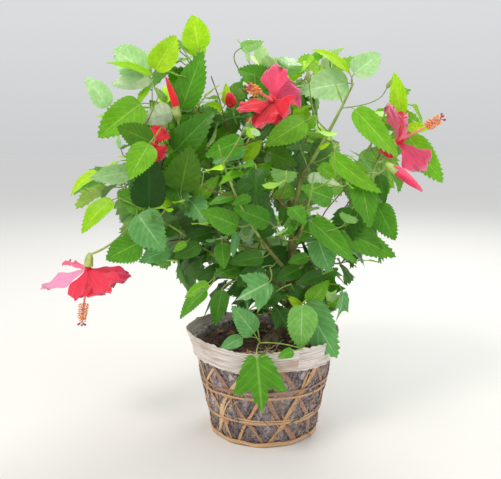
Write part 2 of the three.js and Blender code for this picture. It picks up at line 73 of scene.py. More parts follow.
def place(px, py, depth):
    # The point that a pixel shows at this distance behind the front of the frame (its Y)
    ahead = math.sin(math.radians(view["pitch"]))
    down = math.cos(math.radians(view["pitch"]))
    rise = (view["middle"][1] - py) / view["pixels"]
    away = depth - view["place"][1]
    high = away * (rise * ahead - down) / (ahead + rise * down)
    far = away * ahead - high * down
    return np.array([(px - view["middle"][0]) / view["pixels"] * far + view["place"][0],
                     depth, high + view["place"][2]])


def seen(points):
    # The pixels at which points show, and how far off they are
    ahead = math.sin(math.radians(view["pitch"]))
    down = math.cos(math.radians(view["pitch"]))
    away = points - np.array(view["place"], float)
    far = away[..., 1] * ahead - away[..., 2] * down
    high = away[..., 1] * down + away[..., 2] * ahead
    return np.stack([view["middle"][0] + view["pixels"] * away[..., 0] / far,
                     view["middle"][1] - view["pixels"] * high / far, far], axis=-1)


# Small helpers

def inBox(pixels, box):
    x0, y0, x1, y1 = box
    return (pixels[:, 0] > x0) & (pixels[:, 0] < x1) & (pixels[:, 1] > y0) & (pixels[:, 1] < y1)


def linear(code):
    # An sRGB hex value as linear light
    parts = [int(code[k:k + 2], 16) / 255 for k in (1, 3, 5)]
    return tuple(c / 12.92 if c <= 0.04045 else ((c + 0.055) / 1.055) ** 2.4 for c in parts) + (1.0,)


def unit(v):
    v = np.asarray(v, float)
    return v / np.maximum(np.linalg.norm(v, axis=-1, keepdims=True), 1e-9)


def mix(a, b, share):
    return a + (b - a) * share


def upright(face, out):
    # The direction face, squared up to out
    return unit(face - out * np.sum(face * out, axis=-1, keepdims=True))


def turned(v, axis, angle):
    # v turned round a unit axis
    return (v * math.cos(angle) + np.cross(axis, v) * math.sin(angle)
            + axis * np.dot(axis, v) * (1 - math.cos(angle)))


def draws(seed):
    # A repeatable row of numbers from 0 to 1, the same as the model's
    count = 0
    while True:
        count += 1
        wave = math.sin(seed * 127.1 + count * 311.7) * 43758.5453
        yield wave - math.floor(wave)


# Curves

def track(points):
    points = np.asarray(points, float)
    steps = np.linalg.norm(np.diff(points, axis=0), axis=1)
    return {"points": points, "at": np.concatenate([[0.0], np.cumsum(steps)])}


def bezier(foot, middle, tip, steps=60, start=0.0, end=1.0):
    t = np.linspace(start, end, steps + 1)[:, None]
    foot, middle, tip = (np.asarray(point) for point in (foot, middle, tip))
    return track(foot * (1 - t) ** 2 + middle * 2 * t * (1 - t) + tip * t ** 2)


def along(curve, shares):
    far = np.asarray(shares) * curve["at"][-1]
    return np.stack([np.interp(far, curve["at"], curve["points"][:, k]) for k in range(3)], axis=-1)


def heading(curve, share):
    step = 0.01
    return unit(along(curve, min(share + step, 1)) - along(curve, max(share - step, 0)))


def throughPoints(points, steps):
    # A centripetal spline through points, as the model's trunk
    points = [np.array(p, float) for p in points]
    points = [2 * points[0] - points[1]] + points + [2 * points[-1] - points[-2]]
    found = []
    for a, b, c, d in zip(points, points[1:], points[2:], points[3:]):
        gaps = [math.sqrt(np.linalg.norm(q - p)) for p, q in ((a, b), (b, c), (c, d))]
        first = ((b - a) / gaps[0] - (c - a) / (gaps[0] + gaps[1]) + (c - b) / gaps[1]) * gaps[1]
        second = ((c - b) / gaps[1] - (d - b) / (gaps[1] + gaps[2]) + (d - c) / gaps[2]) * gaps[1]
        for t in np.linspace(0, 1, steps, endpoint=False):
            found.append(b + first * t + (-3 * b + 3 * c - 2 * first - second) * t ** 2
                         + (2 * b - 2 * c + first + second) * t ** 3)
    found.append(points[-2])
    return track(found)


# Shapes that are copied many times, read from a small bmesh into arrays

def readShape(bm):
    mesh = bpy.data.meshes.new("shape")
    bm.to_mesh(mesh)
    bm.free()

    def read(rows, field, width, kind):
        values = np.empty(len(rows) * width, kind)
        rows.foreach_get(field, values)
        return values.reshape(-1, width) if width > 1 else values

    shape = {
        "co": read(mesh.vertices, "co", 3, np.float32).astype(float),
        "edges": read(mesh.edges, "vertices", 2, np.int32),
        "sharp": read(mesh.edges, "use_edge_sharp", 1, bool),
        "corners": read(mesh.loops, "vertex_index", 1, np.int32),
        "cornerEdges": read(mesh.loops, "edge_index", 1, np.int32),
        "sizes": read(mesh.polygons, "loop_total", 1, np.int32),
    }
    bpy.data.meshes.remove(mesh)
    shape["uv"] = np.zeros((len(shape["corners"]), 2))
    return shape


def startsOf(sizes):
    # The number of each face's first corner
    return np.concatenate([[0], np.cumsum(sizes)[:-1]])


# Where a blade's upper face lies across the picture of its surface
leafPicture = {"middle": 0.24, "reach": 0.235, "margin": 0.01}


def sheetShape(across, rows, outline, flat=False):
    # A closed thin sheet. Its upper face maps to the left half of the picture of its surface and
    # its under face to the right half. outline(x, t) gives side, length and relief in unit sizes.
    # A flat picture is laid over the outline and isn't drawn in with it.
    bm = bmesh.new()
    bmesh.ops.create_grid(bm, x_segments=across, y_segments=rows, size=1)
    border = [e for e in bm.edges if e.is_boundary]
    for edge in border:
        edge.smooth = False
    bmesh.ops.solidify(bm, geom=bm.faces[:], thickness=1)
    bmesh.ops.recalc_face_normals(bm, faces=bm.faces)
    for edge in bm.edges:
        rim = [f for f in edge.link_faces if abs(f.normal.z) < 0.5]
        if len(rim) == 1:
            edge.smooth = False
    shape = readShape(bm)
    co = shape["co"]
    x, t, under = co[:, 0].copy(), (co[:, 1] + 1) / 2, -co[:, 2]
    corners = shape["corners"]
    starts = startsOf(shape["sizes"])
    faceUnder = np.repeat(np.add.reduceat(under[corners], starts) / shape["sizes"] > 0.75, shape["sizes"])
    side, far, relief = outline(x, t)
    across = side / np.abs(side).max() if flat else x
    onward = (far - far.min()) / (far.max() - far.min()) if flat else t
    left = leafPicture["middle"] + leafPicture["reach"] * across[corners]
    up = leafPicture["margin"] + (1 - 2 * leafPicture["margin"]) * onward[corners]
    shape["uv"] = np.stack([np.where(faceUnder, 1 - left, left), up], axis=1)
    shape.update({"x": x, "side": side, "far": far, "relief": relief, "under": under})
    return shape


def tubeShape(sides, steps):
    bm = bmesh.new()
    bmesh.ops.create_cone(bm, cap_ends=True, segments=sides, radius1=1, radius2=1, depth=1)
    lengthwise = [e for e in bm.edges if abs(e.verts[0].co.z - e.verts[1].co.z) > 0.5]
    if steps > 1:
        bmesh.ops.subdivide_edges(bm, edges=lengthwise, cuts=steps - 1)
    for face in bm.faces:
        if abs(face.normal.z) > 0.9:
            for edge in face.edges:
                edge.smooth = False
    shape = readShape(bm)
    co = shape["co"]
    turn = np.arctan2(co[:, 1], co[:, 0]) / (2 * math.pi) % 1
    corners = shape["corners"]
    starts = startsOf(shape["sizes"])
    u = turn[corners]
    spread = np.maximum.reduceat(u, starts) - np.minimum.reduceat(u, starts)
    across = np.repeat(spread > 0.5, shape["sizes"])
    u = np.where(across & (u < 0.5), u + 1, u)
    shape["uv"] = np.stack([u * 0.98, co[corners, 2] + 0.5], axis=1)
    shape["ring"] = np.round((co[:, 2] + 0.5) * steps).astype(int)
    shape["steps"] = steps
    return shape


def stripShape(steps):
    # A flat strip with rounded edges, one unit wide, long and thick
    bm = bmesh.new()
    bmesh.ops.create_cube(bm, size=1)
    longEdges = [e for e in bm.edges if abs(e.verts[0].co.y - e.verts[1].co.y) > 0.5]
    bmesh.ops.bevel(bm, geom=longEdges, offset=0.3, segments=2, profile=0.5, affect="EDGES", material=-1)
    longEdges = [e for e in bm.edges if abs(e.verts[0].co.y - e.verts[1].co.y) > 0.5]
    bmesh.ops.subdivide_edges(bm, edges=longEdges, cuts=steps - 1)
    for face in bm.faces:
        if abs(face.normal.y) > 0.9:
            for rim in face.edges:
                rim.smooth = False
    shape = readShape(bm)
    co = shape["co"]
    corners = shape["corners"]
    shape["uv"] = np.stack([co[corners, 0] * 0.9 + 0.5, co[corners, 1] + 0.5], axis=1)
    return shape


def ballShape():
    bm = bmesh.new()
    bmesh.ops.create_icosphere(bm, subdivisions=1, radius=1)
    return readShape(bm)


def joined(name, copies, materials, replaced=()):
    # One object from many copies: each entry is a shape and the places of its points, for one
    # copy or for many at once, with the number of its material
    total = {key: [] for key in ("co", "edges", "sharp", "corners", "cornerEdges", "sizes", "uv", "kind")}
    points, edges = 0, 0
    for shape, places, kind in copies:
        places = places.reshape(-1, len(shape["co"]), 3)
        count = len(places)
        total["co"].append(places.reshape(-1, 3) * mm)
        shift = points + np.arange(count)[:, None] * len(shape["co"])
        total["edges"].append((shape["edges"][None] + shift[:, :, None]).reshape(-1, 2))
        total["corners"].append((shape["corners"][None] + shift).reshape(-1))
        edgeShift = edges + np.arange(count)[:, None] * len(shape["edges"])
        total["cornerEdges"].append((shape["cornerEdges"][None] + edgeShift).reshape(-1))
        total["sharp"].append(np.tile(shape["sharp"], count))
        total["sizes"].append(np.tile(shape["sizes"], count))
        total["uv"].append(np.tile(shape["uv"], (count, 1)))
        total["kind"].append(np.full(count * len(shape["sizes"]), kind))
        points += count * len(shape["co"])
        edges += count * len(shape["edges"])
    whole = {key: np.concatenate(rows) for key, rows in total.items()}
    mesh = bpy.data.meshes.new(name)
    mesh.vertices.add(points)
    mesh.vertices.foreach_set("co", whole["co"].astype(np.float32).ravel())
    mesh.edges.add(edges)
    mesh.edges.foreach_set("vertices", whole["edges"].astype(np.int32).ravel())
    mesh.loops.add(len(whole["corners"]))
    mesh.loops.foreach_set("vertex_index", whole["corners"].astype(np.int32))
    mesh.loops.foreach_set("edge_index", whole["cornerEdges"].astype(np.int32))
    mesh.polygons.add(len(whole["sizes"]))
    starts = startsOf(whole["sizes"])
    mesh.polygons.foreach_set("loop_start", starts.astype(np.int32))
    mesh.polygons.foreach_set("use_smooth", np.ones(len(starts), bool))
    mesh.polygons.foreach_set("material_index", whole["kind"].astype(np.int32))
    mesh.edges.foreach_set("use_edge_sharp", whole["sharp"])
    layer = mesh.uv_layers.new(name="OFBake")
    layer.uv.foreach_set("vector", whole["uv"].astype(np.float32).ravel())
    mesh.update()
    mesh.validate()
    for material in materials:
        mesh.materials.append(material)
    return settle(name, mesh, replaced)


def settle(name, mesh, replaced=()):
    piece = bpy.data.objects.new(name, mesh)
    bpy.context.scene.collection.objects.link(piece)
    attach(piece, "root")
    if replaced:
        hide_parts(*replaced)
    return piece


def tubePoints(shape, curve, radii, relief=None):
    # The points of a tube along a curve. radii holds a radius for each ring.
    steps = shape["steps"]
    shares = np.linspace(0, 1, steps + 1)
    centres = along(curve, shares)
    ways = unit(np.gradient(centres, axis=0))
    side = np.cross(ways[0], upward)
    if np.linalg.norm(side) < 0.05:
        side = np.array([1.0, 0, 0])
    sides = []
    for way in ways:
        side = upright(side, way)
        sides.append(side)
    sides = np.array(sides)
    crosses = np.cross(ways, sides)
    ring = shape["ring"]
    reach = np.interp(shares, np.linspace(0, 1, len(radii)), radii)[ring]
    if relief is not None:
        turn = np.arctan2(shape["co"][:, 1], shape["co"][:, 0])
        reach = reach + relief(turn, shares[ring] * curve["at"][-1])
    x = shape["co"][:, 0:1] * reach[:, None]
    y = shape["co"][:, 1:2] * reach[:, None]
    return centres[ring] + sides[ring] * x + crosses[ring] * y


def bladePoints(shape, leaf):
    # The points of one leaf or petal, bent away from its face as in the model
    turn = leaf["hang"] + leaf["bend"] * shape["far"]
    middleTurn = leaf["hang"] + leaf["bend"] * shape["far"] / 2
    past = shape["far"] * leaf["length"]
    side = shape["side"] * leaf["width"]
    edge = np.abs(side) / (leaf["width"] / 2)
    depth = shape["relief"] * leaf["width"] + leaf["fold"] * np.abs(side)
    depth = depth + leaf["wave"] * leaf["width"] * edge ** 2 * np.sin(
        leaf["waves"] * 2 * math.pi * shape["far"] + leaf["phase"] + np.sign(side) * 0.9)
    depth = depth + leaf.get("cup", 0) * leaf["width"] * edge ** 2
    roll = leaf["twist"] * shape["far"]
    side, depth = side * np.cos(roll) - depth * np.sin(roll), side * np.sin(roll) + depth * np.cos(roll)
    depth = depth - shape["under"] * leaf["thickness"]
    out, face = leaf["out"], leaf["face"]
    across = np.cross(face, out)
    return (leaf["base"] + out * (past * np.cos(middleTurn) + depth * np.sin(turn))[:, None]
            + face * (depth * np.cos(turn) - past * np.sin(middleTurn))[:, None] + across * side[:, None])


def bladeBetween(base, tip, facing, width, bend, roll=0.0):
    # A blade from base to tip that bows towards facing, turned on its length by roll degrees
    chord = tip - base
    length = np.linalg.norm(chord) / (1 - bend * bend / 24)
    chord = unit(chord)
    facing = turned(upright(facing, chord), chord, math.radians(roll))
    out = unit(chord * math.cos(bend / 2) + facing * math.sin(bend / 2))
    return {"base": base, "out": out, "face": upright(facing, out), "length": length, "width": width,
            "hang": 0.0, "bend": bend}


# Materials

def addNode(tree, kind, settings=None, links=None):
    # Adds a shader node, sets its fields and sockets, and links its sockets to outputs. A node that is
    # given for an output stands for its first one. stops are a ramp's places with their colours, and
    # range is where a mapped value comes from and goes to.
    node = tree.nodes.new("ShaderNode" + kind)
    for field, value in (settings or {}).items():
        if field == "stops":
            stops = node.color_ramp.elements
            while len(stops) < len(value):
                stops.new(0.5)
            for stop, (spot, code) in zip(stops, value):
                stop.position = spot
                stop.color = linear(code)
        elif field == "range":
            for socket, number in zip(("From Min", "From Max", "To Min", "To Max"), value):
                node.inputs[socket].default_value = number
        elif isinstance(field, str) and hasattr(node, field):
            setattr(node, field, value)
        else:
            node.inputs[field].default_value = value
    for socket, source in (links or {}).items():
        output = source.outputs[0] if isinstance(source, bpy.types.Node) else source
        tree.links.new(output, node.inputs[socket])
    return node


def newMaterial(name, settings):
    material = bpy.data.materials.new(name)
    material.use_nodes = True
    tree = material.node_tree
    shader = tree.nodes["Principled BSDF"]
    for socket, value in settings.items():
        shader.inputs[socket].default_value = value
    return material, tree, shader


def finishMaterial(tree, shader, colour, height, strength, bumpMm, sunken=False):
    # The shader's colour, and its relief from a height
    tree.links.new(colour, shader.inputs["Base Color"])
    bump = addNode(tree, "Bump", {"Strength": strength, "Distance": bumpMm * mm, "invert": sunken},
                   {"Height": height})
    tree.links.new(bump.outputs["Normal"], shader.inputs["Normal"])


leafLook = {
    "veins": 7.0,              # side veins along each half of a blade
    "forward": 1.5,            # how steeply they run forward
    "net": 34.0,               # cells of the fine net between them
    "blotches": 7.0,
    "dullUnder": 0.25,         # the under face is this much rougher
}


def leafMaterial(name, upper, vein, under, gloss, glow):
    # Living leaf, grown: a waxy upper face with pale sunken veins, and a paler, duller under face.
    # The light that comes through the blade is given by the shader's own scattering.
    material, tree, shader = newMaterial(name, {
        "Roughness": gloss, "IOR": 1.45, "Specular IOR Level": 0.3, "Subsurface Weight": glow,
        "Subsurface Radius": (0.4, 1.0, 0.15), "Subsurface Scale": 0.004})
    uv = addNode(tree, "UVMap", {"uv_map": "OFBake"})
    split = addNode(tree, "SeparateXYZ", links={"Vector": uv})
    across, onward = split.outputs["X"], split.outputs["Y"]
    isUnder = addNode(tree, "Math", {"operation": "GREATER_THAN", 1: 0.5}, {0: across})
    folded = addNode(tree, "Math", {"operation": "PINGPONG", 1: 0.5}, {0: across})
    centred = addNode(tree, "Math", {"operation": "SUBTRACT", 1: leafPicture["middle"]}, {0: folded})
    away = addNode(tree, "Math", {"operation": "ABSOLUTE"}, {0: centred})
    forward = addNode(tree, "Math", {"operation": "MULTIPLY", 1: -leafLook["forward"]}, {0: away})
    slanted = addNode(tree, "Math", {"operation": "ADD"}, {0: onward, 1: forward})
    count = addNode(tree, "Math", {"operation": "MULTIPLY", 1: leafLook["veins"]}, {0: slanted})
    saw = addNode(tree, "Math", {"operation": "PINGPONG", 1: 0.5}, {0: count})
    sideVein = addNode(tree, "MapRange", {"range": (0.02, 0.16, 0.26, 0.0)}, {"Value": saw})
    midrib = addNode(tree, "MapRange", {"range": (0.003, 0.016, 0.75, 0.0)}, {"Value": away})
    veins = addNode(tree, "Math", {"operation": "MAXIMUM"}, {0: sideVein, 1: midrib})
    net = addNode(tree, "TexVoronoi", {"feature": "DISTANCE_TO_EDGE", "Scale": leafLook["net"]},
                  {"Vector": uv})
    netLine = addNode(tree, "MapRange", {"range": (0.0, 0.09, 0.1, 0.0)}, {"Value": net})
    lines = addNode(tree, "Math", {"operation": "MAXIMUM"}, {0: veins, 1: netLine})
    blotch = addNode(tree, "TexNoise", {"Scale": leafLook["blotches"], "Detail": 3.0}, {"Vector": uv})
    tone = addNode(tree, "MapRange", {"range": (0.3, 0.7, 0.82, 1.12)}, {"Value": blotch})
    veined = addNode(tree, "Mix", {"data_type": "RGBA", 6: linear(upper), 7: linear(vein)}, {0: lines})
    bothFaces = addNode(tree, "Mix", {"data_type": "RGBA", 7: linear(under)},
                        {0: isUnder, 6: veined.outputs[2]})
    toned = addNode(tree, "VectorMath", {"operation": "SCALE"}, {0: bothFaces.outputs[2], "Scale": tone})
    dullest = min(gloss + leafLook["dullUnder"], 0.9)
    dull = addNode(tree, "MapRange", {"range": (0, 1, gloss, dullest)}, {"Value": isUnder})
    tree.links.new(dull.outputs["Result"], shader.inputs["Roughness"])
    finishMaterial(tree, shader, toned.outputs[0], lines, 0.35, 0.8, sunken=True)
    return material


def petalMaterial(name, light, deep, edge, back):
    # Hibiscus petal, grown: satin, finely ribbed lengthwise and deeper in the throat. Its paler rim is a
    # painted highlight, and its paler back is partly its own colour and partly painted light against the
    # shade on it.
    material, tree, shader = newMaterial(name, {
        "Roughness": 0.55, "IOR": 1.4, "Specular IOR Level": 0.25, "Subsurface Weight": 0.5,
        "Subsurface Radius": (1.0, 0.3, 0.35), "Subsurface Scale": 0.008, "Sheen Weight": 0.25,
        "Sheen Roughness": 0.5})
    uv = addNode(tree, "UVMap", {"uv_map": "OFBake"})
    split = addNode(tree, "SeparateXYZ", links={"Vector": uv})
    stretched = addNode(tree, "Mapping", {"Scale": (70.0, 3.0, 1.0)}, {"Vector": uv})
    ribs = addNode(tree, "TexNoise", {"Scale": 1.0, "Detail": 2.0}, {"Vector": stretched})
    # The rim's pale stop is a painted highlight
    stops = [(0.0, deep), (0.28, light), (0.8, light), (1.0, edge)]
    front = addNode(tree, "ValToRGB", {"stops": stops}, {"Fac": split.outputs["Y"]})
    isBack = addNode(tree, "Math", {"operation": "GREATER_THAN", 1: 0.5}, {0: split.outputs["X"]})
    # The back's colour is partly its own and partly painted light against its shade
    bothFaces = addNode(tree, "Mix", {"data_type": "RGBA", 7: linear(back)}, {0: isBack, 6: front})
    shade = addNode(tree, "MapRange", {"range": (0.35, 0.65, 0.78, 1.08)}, {"Value": ribs})
    toned = addNode(tree, "VectorMath", {"operation": "SCALE"}, {0: bothFaces.outputs[2], "Scale": shade})
    finishMaterial(tree, shader, toned.outputs[0], ribs, 0.4, 0.6)
    return material


def plainMaterial(name, dark, light, rough, scale, stretch=(1.0, 1.0, 1.0), byUv=False, bumpMm=0.3,
                  above=None):
    # A mottled natural surface: two colours dealt out by a stretched noise that also gives the relief,
    # and two others above a height, where it is asked for
    material, tree, shader = newMaterial(name, {"Roughness": rough})
    if byUv:
        source = addNode(tree, "UVMap", {"uv_map": "OFBake"}).outputs["UV"]
    else:
        source = addNode(tree, "TexCoord").outputs["Object"]
    mapped = addNode(tree, "Mapping", {"Scale": stretch}, {"Vector": source})
    grain = addNode(tree, "TexNoise", {"Scale": scale, "Detail": 6.0, "Roughness": 0.65},
                    {"Vector": mapped})
    below = addNode(tree, "ValToRGB", {"stops": [(0.32, dark), (0.68, light)]}, {"Fac": grain})
    colour = below.outputs["Color"]
    if above:
        low, high, darkAbove, lightAbove = above
        parts = addNode(tree, "SeparateXYZ", links={"Vector": source})
        share = addNode(tree, "MapRange", {"range": (low * mm, high * mm, 0, 1)},
                        {"Value": parts.outputs["Z"]})
        other = addNode(tree, "ValToRGB", {"stops": [(0.32, darkAbove), (0.68, lightAbove)]},
                        {"Fac": grain})
        mixed = addNode(tree, "Mix", {"data_type": "RGBA"}, {0: share, 6: below, 7: other})
        colour = mixed.outputs[2]
    finishMaterial(tree, shader, colour, grain, 0.7, bumpMm)
    return material


# Basket: a lined cone of bamboo strips

basket = {
    "footRadius": 78,
    "flare": 0.2,
    "rimHeight": 155,
    "liningHeight": 143,
    "liningWidth": 5,
    "wellFloor": 124,
    "headroom": 12,            # leaves and twigs keep this far off the rim
    "rounds": 220,             # faces round the coir
    "flatWithin": 60,          # the underside stays flat inside this radius
    "bulge": 4.8,              # the coir swells by this much between the strips
    "steepness": 4.5,          # and reaches it so soon beside them
    "sunk": 1.2,
    "lumps": ((8, 1.8), (2.8, 1.2)),
}
weave = {
    "strips": 12,
    "width": (3.4, 8.0),
    "thickness": 1.1,
    "lean": math.radians(30),
    "foot": 1,
    "top": 140,
    "turnRadius": 92,
    "middle": 1.9,             # the strips' mean height over the coir
    "over": 0.65,              # and how far they pass over and under it
    "crossing": 41.7,          # height between two crossings
    "stray": 0.05,             # how far a strip wanders sideways, in radians
    "doubled": 0.55,           # share of the strips with a thin one beside them
    "loose": 22,               # short strands that have come away
}


def ballRadius(z):
    return basket["footRadius"] + basket["flare"] * z


def fromStrip(angle, height):
    # How far a place on the coir is from the nearest strip, in pitches of the weave
    pitch = weave["turnRadius"] * 2 * math.pi / weave["strips"]
    arc = weave["turnRadius"] * angle
    slant = (height - weave["foot"]) * math.tan(weave["lean"])
    rising = np.abs(((arc - slant) / pitch + 0.5) % 1 - 0.5)
    falling = np.abs(((arc + slant) / pitch + 0.5) % 1 - 0.5)
    return np.minimum(rising, falling)


def stripPoints(shape, one):
    # A strip that climbs the coir and passes over and under the others
    x, y, z = shape["co"].T
    share = y + 0.5
    height = mix(one["foot"], one["top"], share)
    arc = one["hand"] * (height - weave["foot"]) * math.tan(one["lean"])
    arc = arc + x * one["width"] / math.cos(one["lean"])
    stray = np.sin(height / 34 + one["phase"]) + 0.5 * np.sin(height / 13 + 2 * one["phase"])
    angle = one["turn"] + arc / weave["turnRadius"] + weave["stray"] * stray
    passing = one["side"] * weave["over"] * np.cos(math.pi * (height - weave["foot"]) / weave["crossing"])
    lift = one["loose"] * np.clip((share - 0.6) / 0.4, 0, 1) ** 2
    radius = ballRadius(height) + weave["middle"] + passing + z * weave["thickness"] + lift
    return np.stack([radius * np.cos(angle), radius * np.sin(angle), height], axis=1)


def bamboo(name, dark, light, rough):
    # Split by hand and dried in the sun: long grain streaks, drawn some 2 mm wide so that they show
    return plainMaterial(name, dark, light, rough, 3.0, (2.5, 9.0, 1.0), byUv=True, bumpMm=0.4)


bambooLight = bamboo("split bamboo, dried and sun-bleached", "#b48458", "#fadcb4", 0.6)
bambooTan = bamboo("split bamboo, aged orange-brown", "#a47448", "#ecc090", 0.6)
bambooDark = bamboo("split bamboo, weathered reddish brown", "#7a5646", "#c8a084", 0.7)
bamboos = [bambooLight, bambooTan, bambooDark]


def bambooKind(turn, rng):
    # The strips run darker towards the right of the basket
    dark = 0.5 + 0.5 * math.cos(turn + 0.4)
    return int(np.clip(round(2.2 * dark + rng.uniform(-0.7, 0.5)), 0, 2))


def crossingStrips(rng):
    # Twelve strips of each hand, many with a thinner one beside them
    strip = stripShape(36)
    copies = []
    for number in range(weave["strips"]):
        turn = number * 2 * math.pi / weave["strips"]
        for hand in (1, -1):
            one = {"turn": turn + rng.uniform(-0.05, 0.05), "hand": hand,
                   "width": rng.uniform(*weave["width"]), "lean": weave["lean"] + rng.uniform(-0.05, 0.05),
                   "side": hand * (1 if (number + (hand > 0)) % 2 else -1), "phase": rng.uniform(0, 6),
                   "foot": weave["foot"], "top": weave["top"], "loose": 0}
            kind = bambooKind(turn, rng)
            copies.append((strip, stripPoints(strip, one), kind))
            if rng.uniform() < weave["doubled"]:
                beside = {**one, "turn": turn + rng.choice([-1, 1]) * rng.uniform(0.07, 0.12),
                          "width": rng.uniform(2, 4.2), "lean": weave["lean"] + rng.uniform(-0.22, 0.12),
                          "foot": rng.uniform(1, 50), "top": rng.uniform(95, 140),
                          "phase": one["phase"] + 0.4}
                copies.append((strip, stripPoints(strip, beside), kind))
    return copies


def looseStrands(rng):
    strand = stripShape(10)
    copies = []
    for _ in range(weave["loose"]):
        foot = rng.uniform(10, 105)
        turn = rng.uniform(0, 2 * math.pi)
        one = {"turn": turn, "hand": rng.choice([-1, 1]), "width": rng.uniform(1.6, 3.4), "side": 1,
               "lean": math.radians(rng.uniform(0, 50)), "phase": rng.uniform(0, 6), "foot": foot,
               "top": foot + rng.choice([-1, 1]) * rng.uniform(18, 34), "loose": rng.uniform(1, 7)}
        one["top"] = min(max(one["top"], 2), 138)
        one["turn"] -= one["hand"] * (foot - weave["foot"]) * math.tan(one["lean"]) / weave["turnRadius"]
        copies.append((strand, stripPoints(strand, one), bambooKind(turn, rng)))
    return copies


def bambooStrips():
    rng = np.random.default_rng(3)
    joined("bamboo_strips", crossingStrips(rng) + looseStrands(rng), bamboos, ["bamboo_weave"])


bambooStrips()

# Hoops: flat strands wound a little more than once round, and a twisted bundle at the foot
hoops = {
    "foot": {"bamboos": [bambooTan, bambooLight], "strands": [
        {"height": 2.4 + 1.9 * k, "width": 2.8, "out": 3.9, "thickness": 2.2, "start": 200 + 50 * k,
         "wobble": 0.3, "twist": 0.7, "kind": k % 2} for k in range(3)]},
    "lower": {"bamboos": [bambooTan, bambooLight], "strands": [
        {"height": 39, "width": 4.2, "out": 3.7, "thickness": 1.2, "start": 120, "kind": 0},
        {"height": 43.5, "width": 2.0, "out": 3.6, "thickness": 1.0, "start": 240, "sweep": 150, "kind": 1}]},
    "middle": {"bamboos": [bambooTan, bambooDark], "strands": [
        {"height": 79.5, "width": 4.0, "out": 3.8, "thickness": 1.3, "start": 100, "kind": 0},
        {"height": 88.5, "width": 4.4, "out": 3.8, "thickness": 1.3, "start": 80, "kind": 1}]},
}
hoopStrip = stripShape(120)


def hoopPoints(shape, one):
    x, y, z = shape["co"].T
    start, twist = one["start"], one.get("twist", 0)
    angle = math.radians(start) + (y + 0.5) * math.radians(one.get("sweep", 372))
    wide = one["width"] * (1 + 0.15 * np.sin(7 * angle + start))
    wobble = one.get("wobble", 1.1) * (np.sin(3 * angle + start) + 0.4 * np.sin(8 * angle))
    up = one["height"] + x * wide + wobble + twist * np.sin(11 * angle + start)
    radius = ballRadius(up) + one["out"] + z * one["thickness"] + 0.5 * (y + 0.5)
    radius = radius + twist * np.cos(11 * angle + start)
    return np.stack([radius * np.cos(angle), radius * np.sin(angle), np.maximum(up, 0.1)], axis=1)


for level, hoop in hoops.items():
    strands = [(hoopStrip, hoopPoints(hoopStrip, one), one["kind"]) for one in hoop["strands"]]
    joined(f"bamboo_{level}_hoop", strands, hoop["bamboos"], [f"bamboo_hoop_{level}"])
print("bamboo woven")


def spun(profile, rounds):
    # A profile of (radius, height) points turned into a closed ring or ball
    bm = bmesh.new()
    verts = [bm.verts.new((r, 0, z)) for r, z in profile]
    edges = [bm.edges.new(pair) for pair in zip(verts, verts[1:] + verts[:1]) if pair[0].co != pair[1].co]
    bmesh.ops.spin(bm, geom=verts + edges, cent=(0, 0, 0), axis=(0, 0, 1), angle=2 * math.pi, steps=rounds,
                   use_merge=True)
    bmesh.ops.remove_doubles(bm, verts=bm.verts, dist=1e-4)
    bmesh.ops.dissolve_degenerate(bm, dist=1e-4, edges=bm.edges)
    bmesh.ops.recalc_face_normals(bm, faces=bm.faces)
    return bm


def finishSolid(name, bm, material, replaced=()):
    bmesh.ops.scale(bm, vec=(mm, mm, mm), verts=bm.verts)
    mesh = bpy.data.meshes.new(name)
    for face in bm.faces:
        face.smooth = True
    bm.to_mesh(mesh)
    bm.free()
    mesh.materials.append(material)
    return settle(name, mesh, replaced)


def rowOf(start, end, count):
    return [tuple(mix(np.array(start, float), np.array(end, float), k / count)) for k in range(count)]


def coirBall():
    # Matted coconut husk, pressed between the strips: grey-brown, rough and lumpy
    coir = plainMaterial("coir lining, matted husk fibre", "#42383c", "#d6c8c8", 0.95, 190.0, (1.0, 1.0, 0.5),
                         bumpMm=1.8)
    top, well, edge = basket["liningHeight"], basket["wellFloor"], ballRadius(0) - 2
    inner = ballRadius(top) - basket["liningWidth"]
    rim = (ballRadius(top), top)
    profile = rowOf((0, 0), (edge, 0), 8) + rowOf((edge, 0), rim, 60) + rowOf(rim, (inner, top - 1), 3)
    profile += rowOf((inner, top - 1), (inner - 3, well), 6) + rowOf((inner - 3, well), (0, well), 6)
    profile.append((0, well))
    bm = spun(profile, basket["rounds"])
    for vert in bm.verts:
        x, y, z = vert.co
        radius = math.hypot(x, y)
        if radius < basket["flatWithin"] or z < 0.01:
            continue
        near = min(1, fromStrip(math.atan2(y, x), z) * basket["steepness"])
        swell = basket["bulge"] * near * min(1, z / 12)
        rough = sum(height * noise.noise(Vector((x, y, z)) / size) for size, height in basket["lumps"])
        out = 1 + (swell + rough - basket["sunk"]) / radius
        vert.co.x *= out
        vert.co.y *= out
    finishSolid("coir_ball", bm, coir, ["root_ball"])


coirBall()

soilBed = {
    "foot": 124.5,
    "height": 136,
    "edgeHeight": 133,
    "mound": 34,               # the middle stays level inside this radius
    "rounds": 150,
    "lumps": ((9, 1.8), (3.2, 1.5)),
}
crumbs = {"count": 700, "size": (0.8, 2.6), "stretch": (0.6, 1.3), "uneven": 0.25}
fibre = {
    "count": 1500,
    "height": (4, 138),
    "length": (16, 44),
    "bow": 6,
    "within": (2, 142),        # heights that a fibre stays between
    "sunk": 0.9,
    "lift": (-0.4, 0.9),
    "radii": [0.35, 0.5, 0.35],
}
# Broken potting soil: nearly black, with paler crumbs
soil = plainMaterial("potting soil, crumbled", "#1a1210", "#66503f", 1.0, 110.0, bumpMm=2.5)
fibreTube = tubeShape(3, 4)
crumb = ballShape()


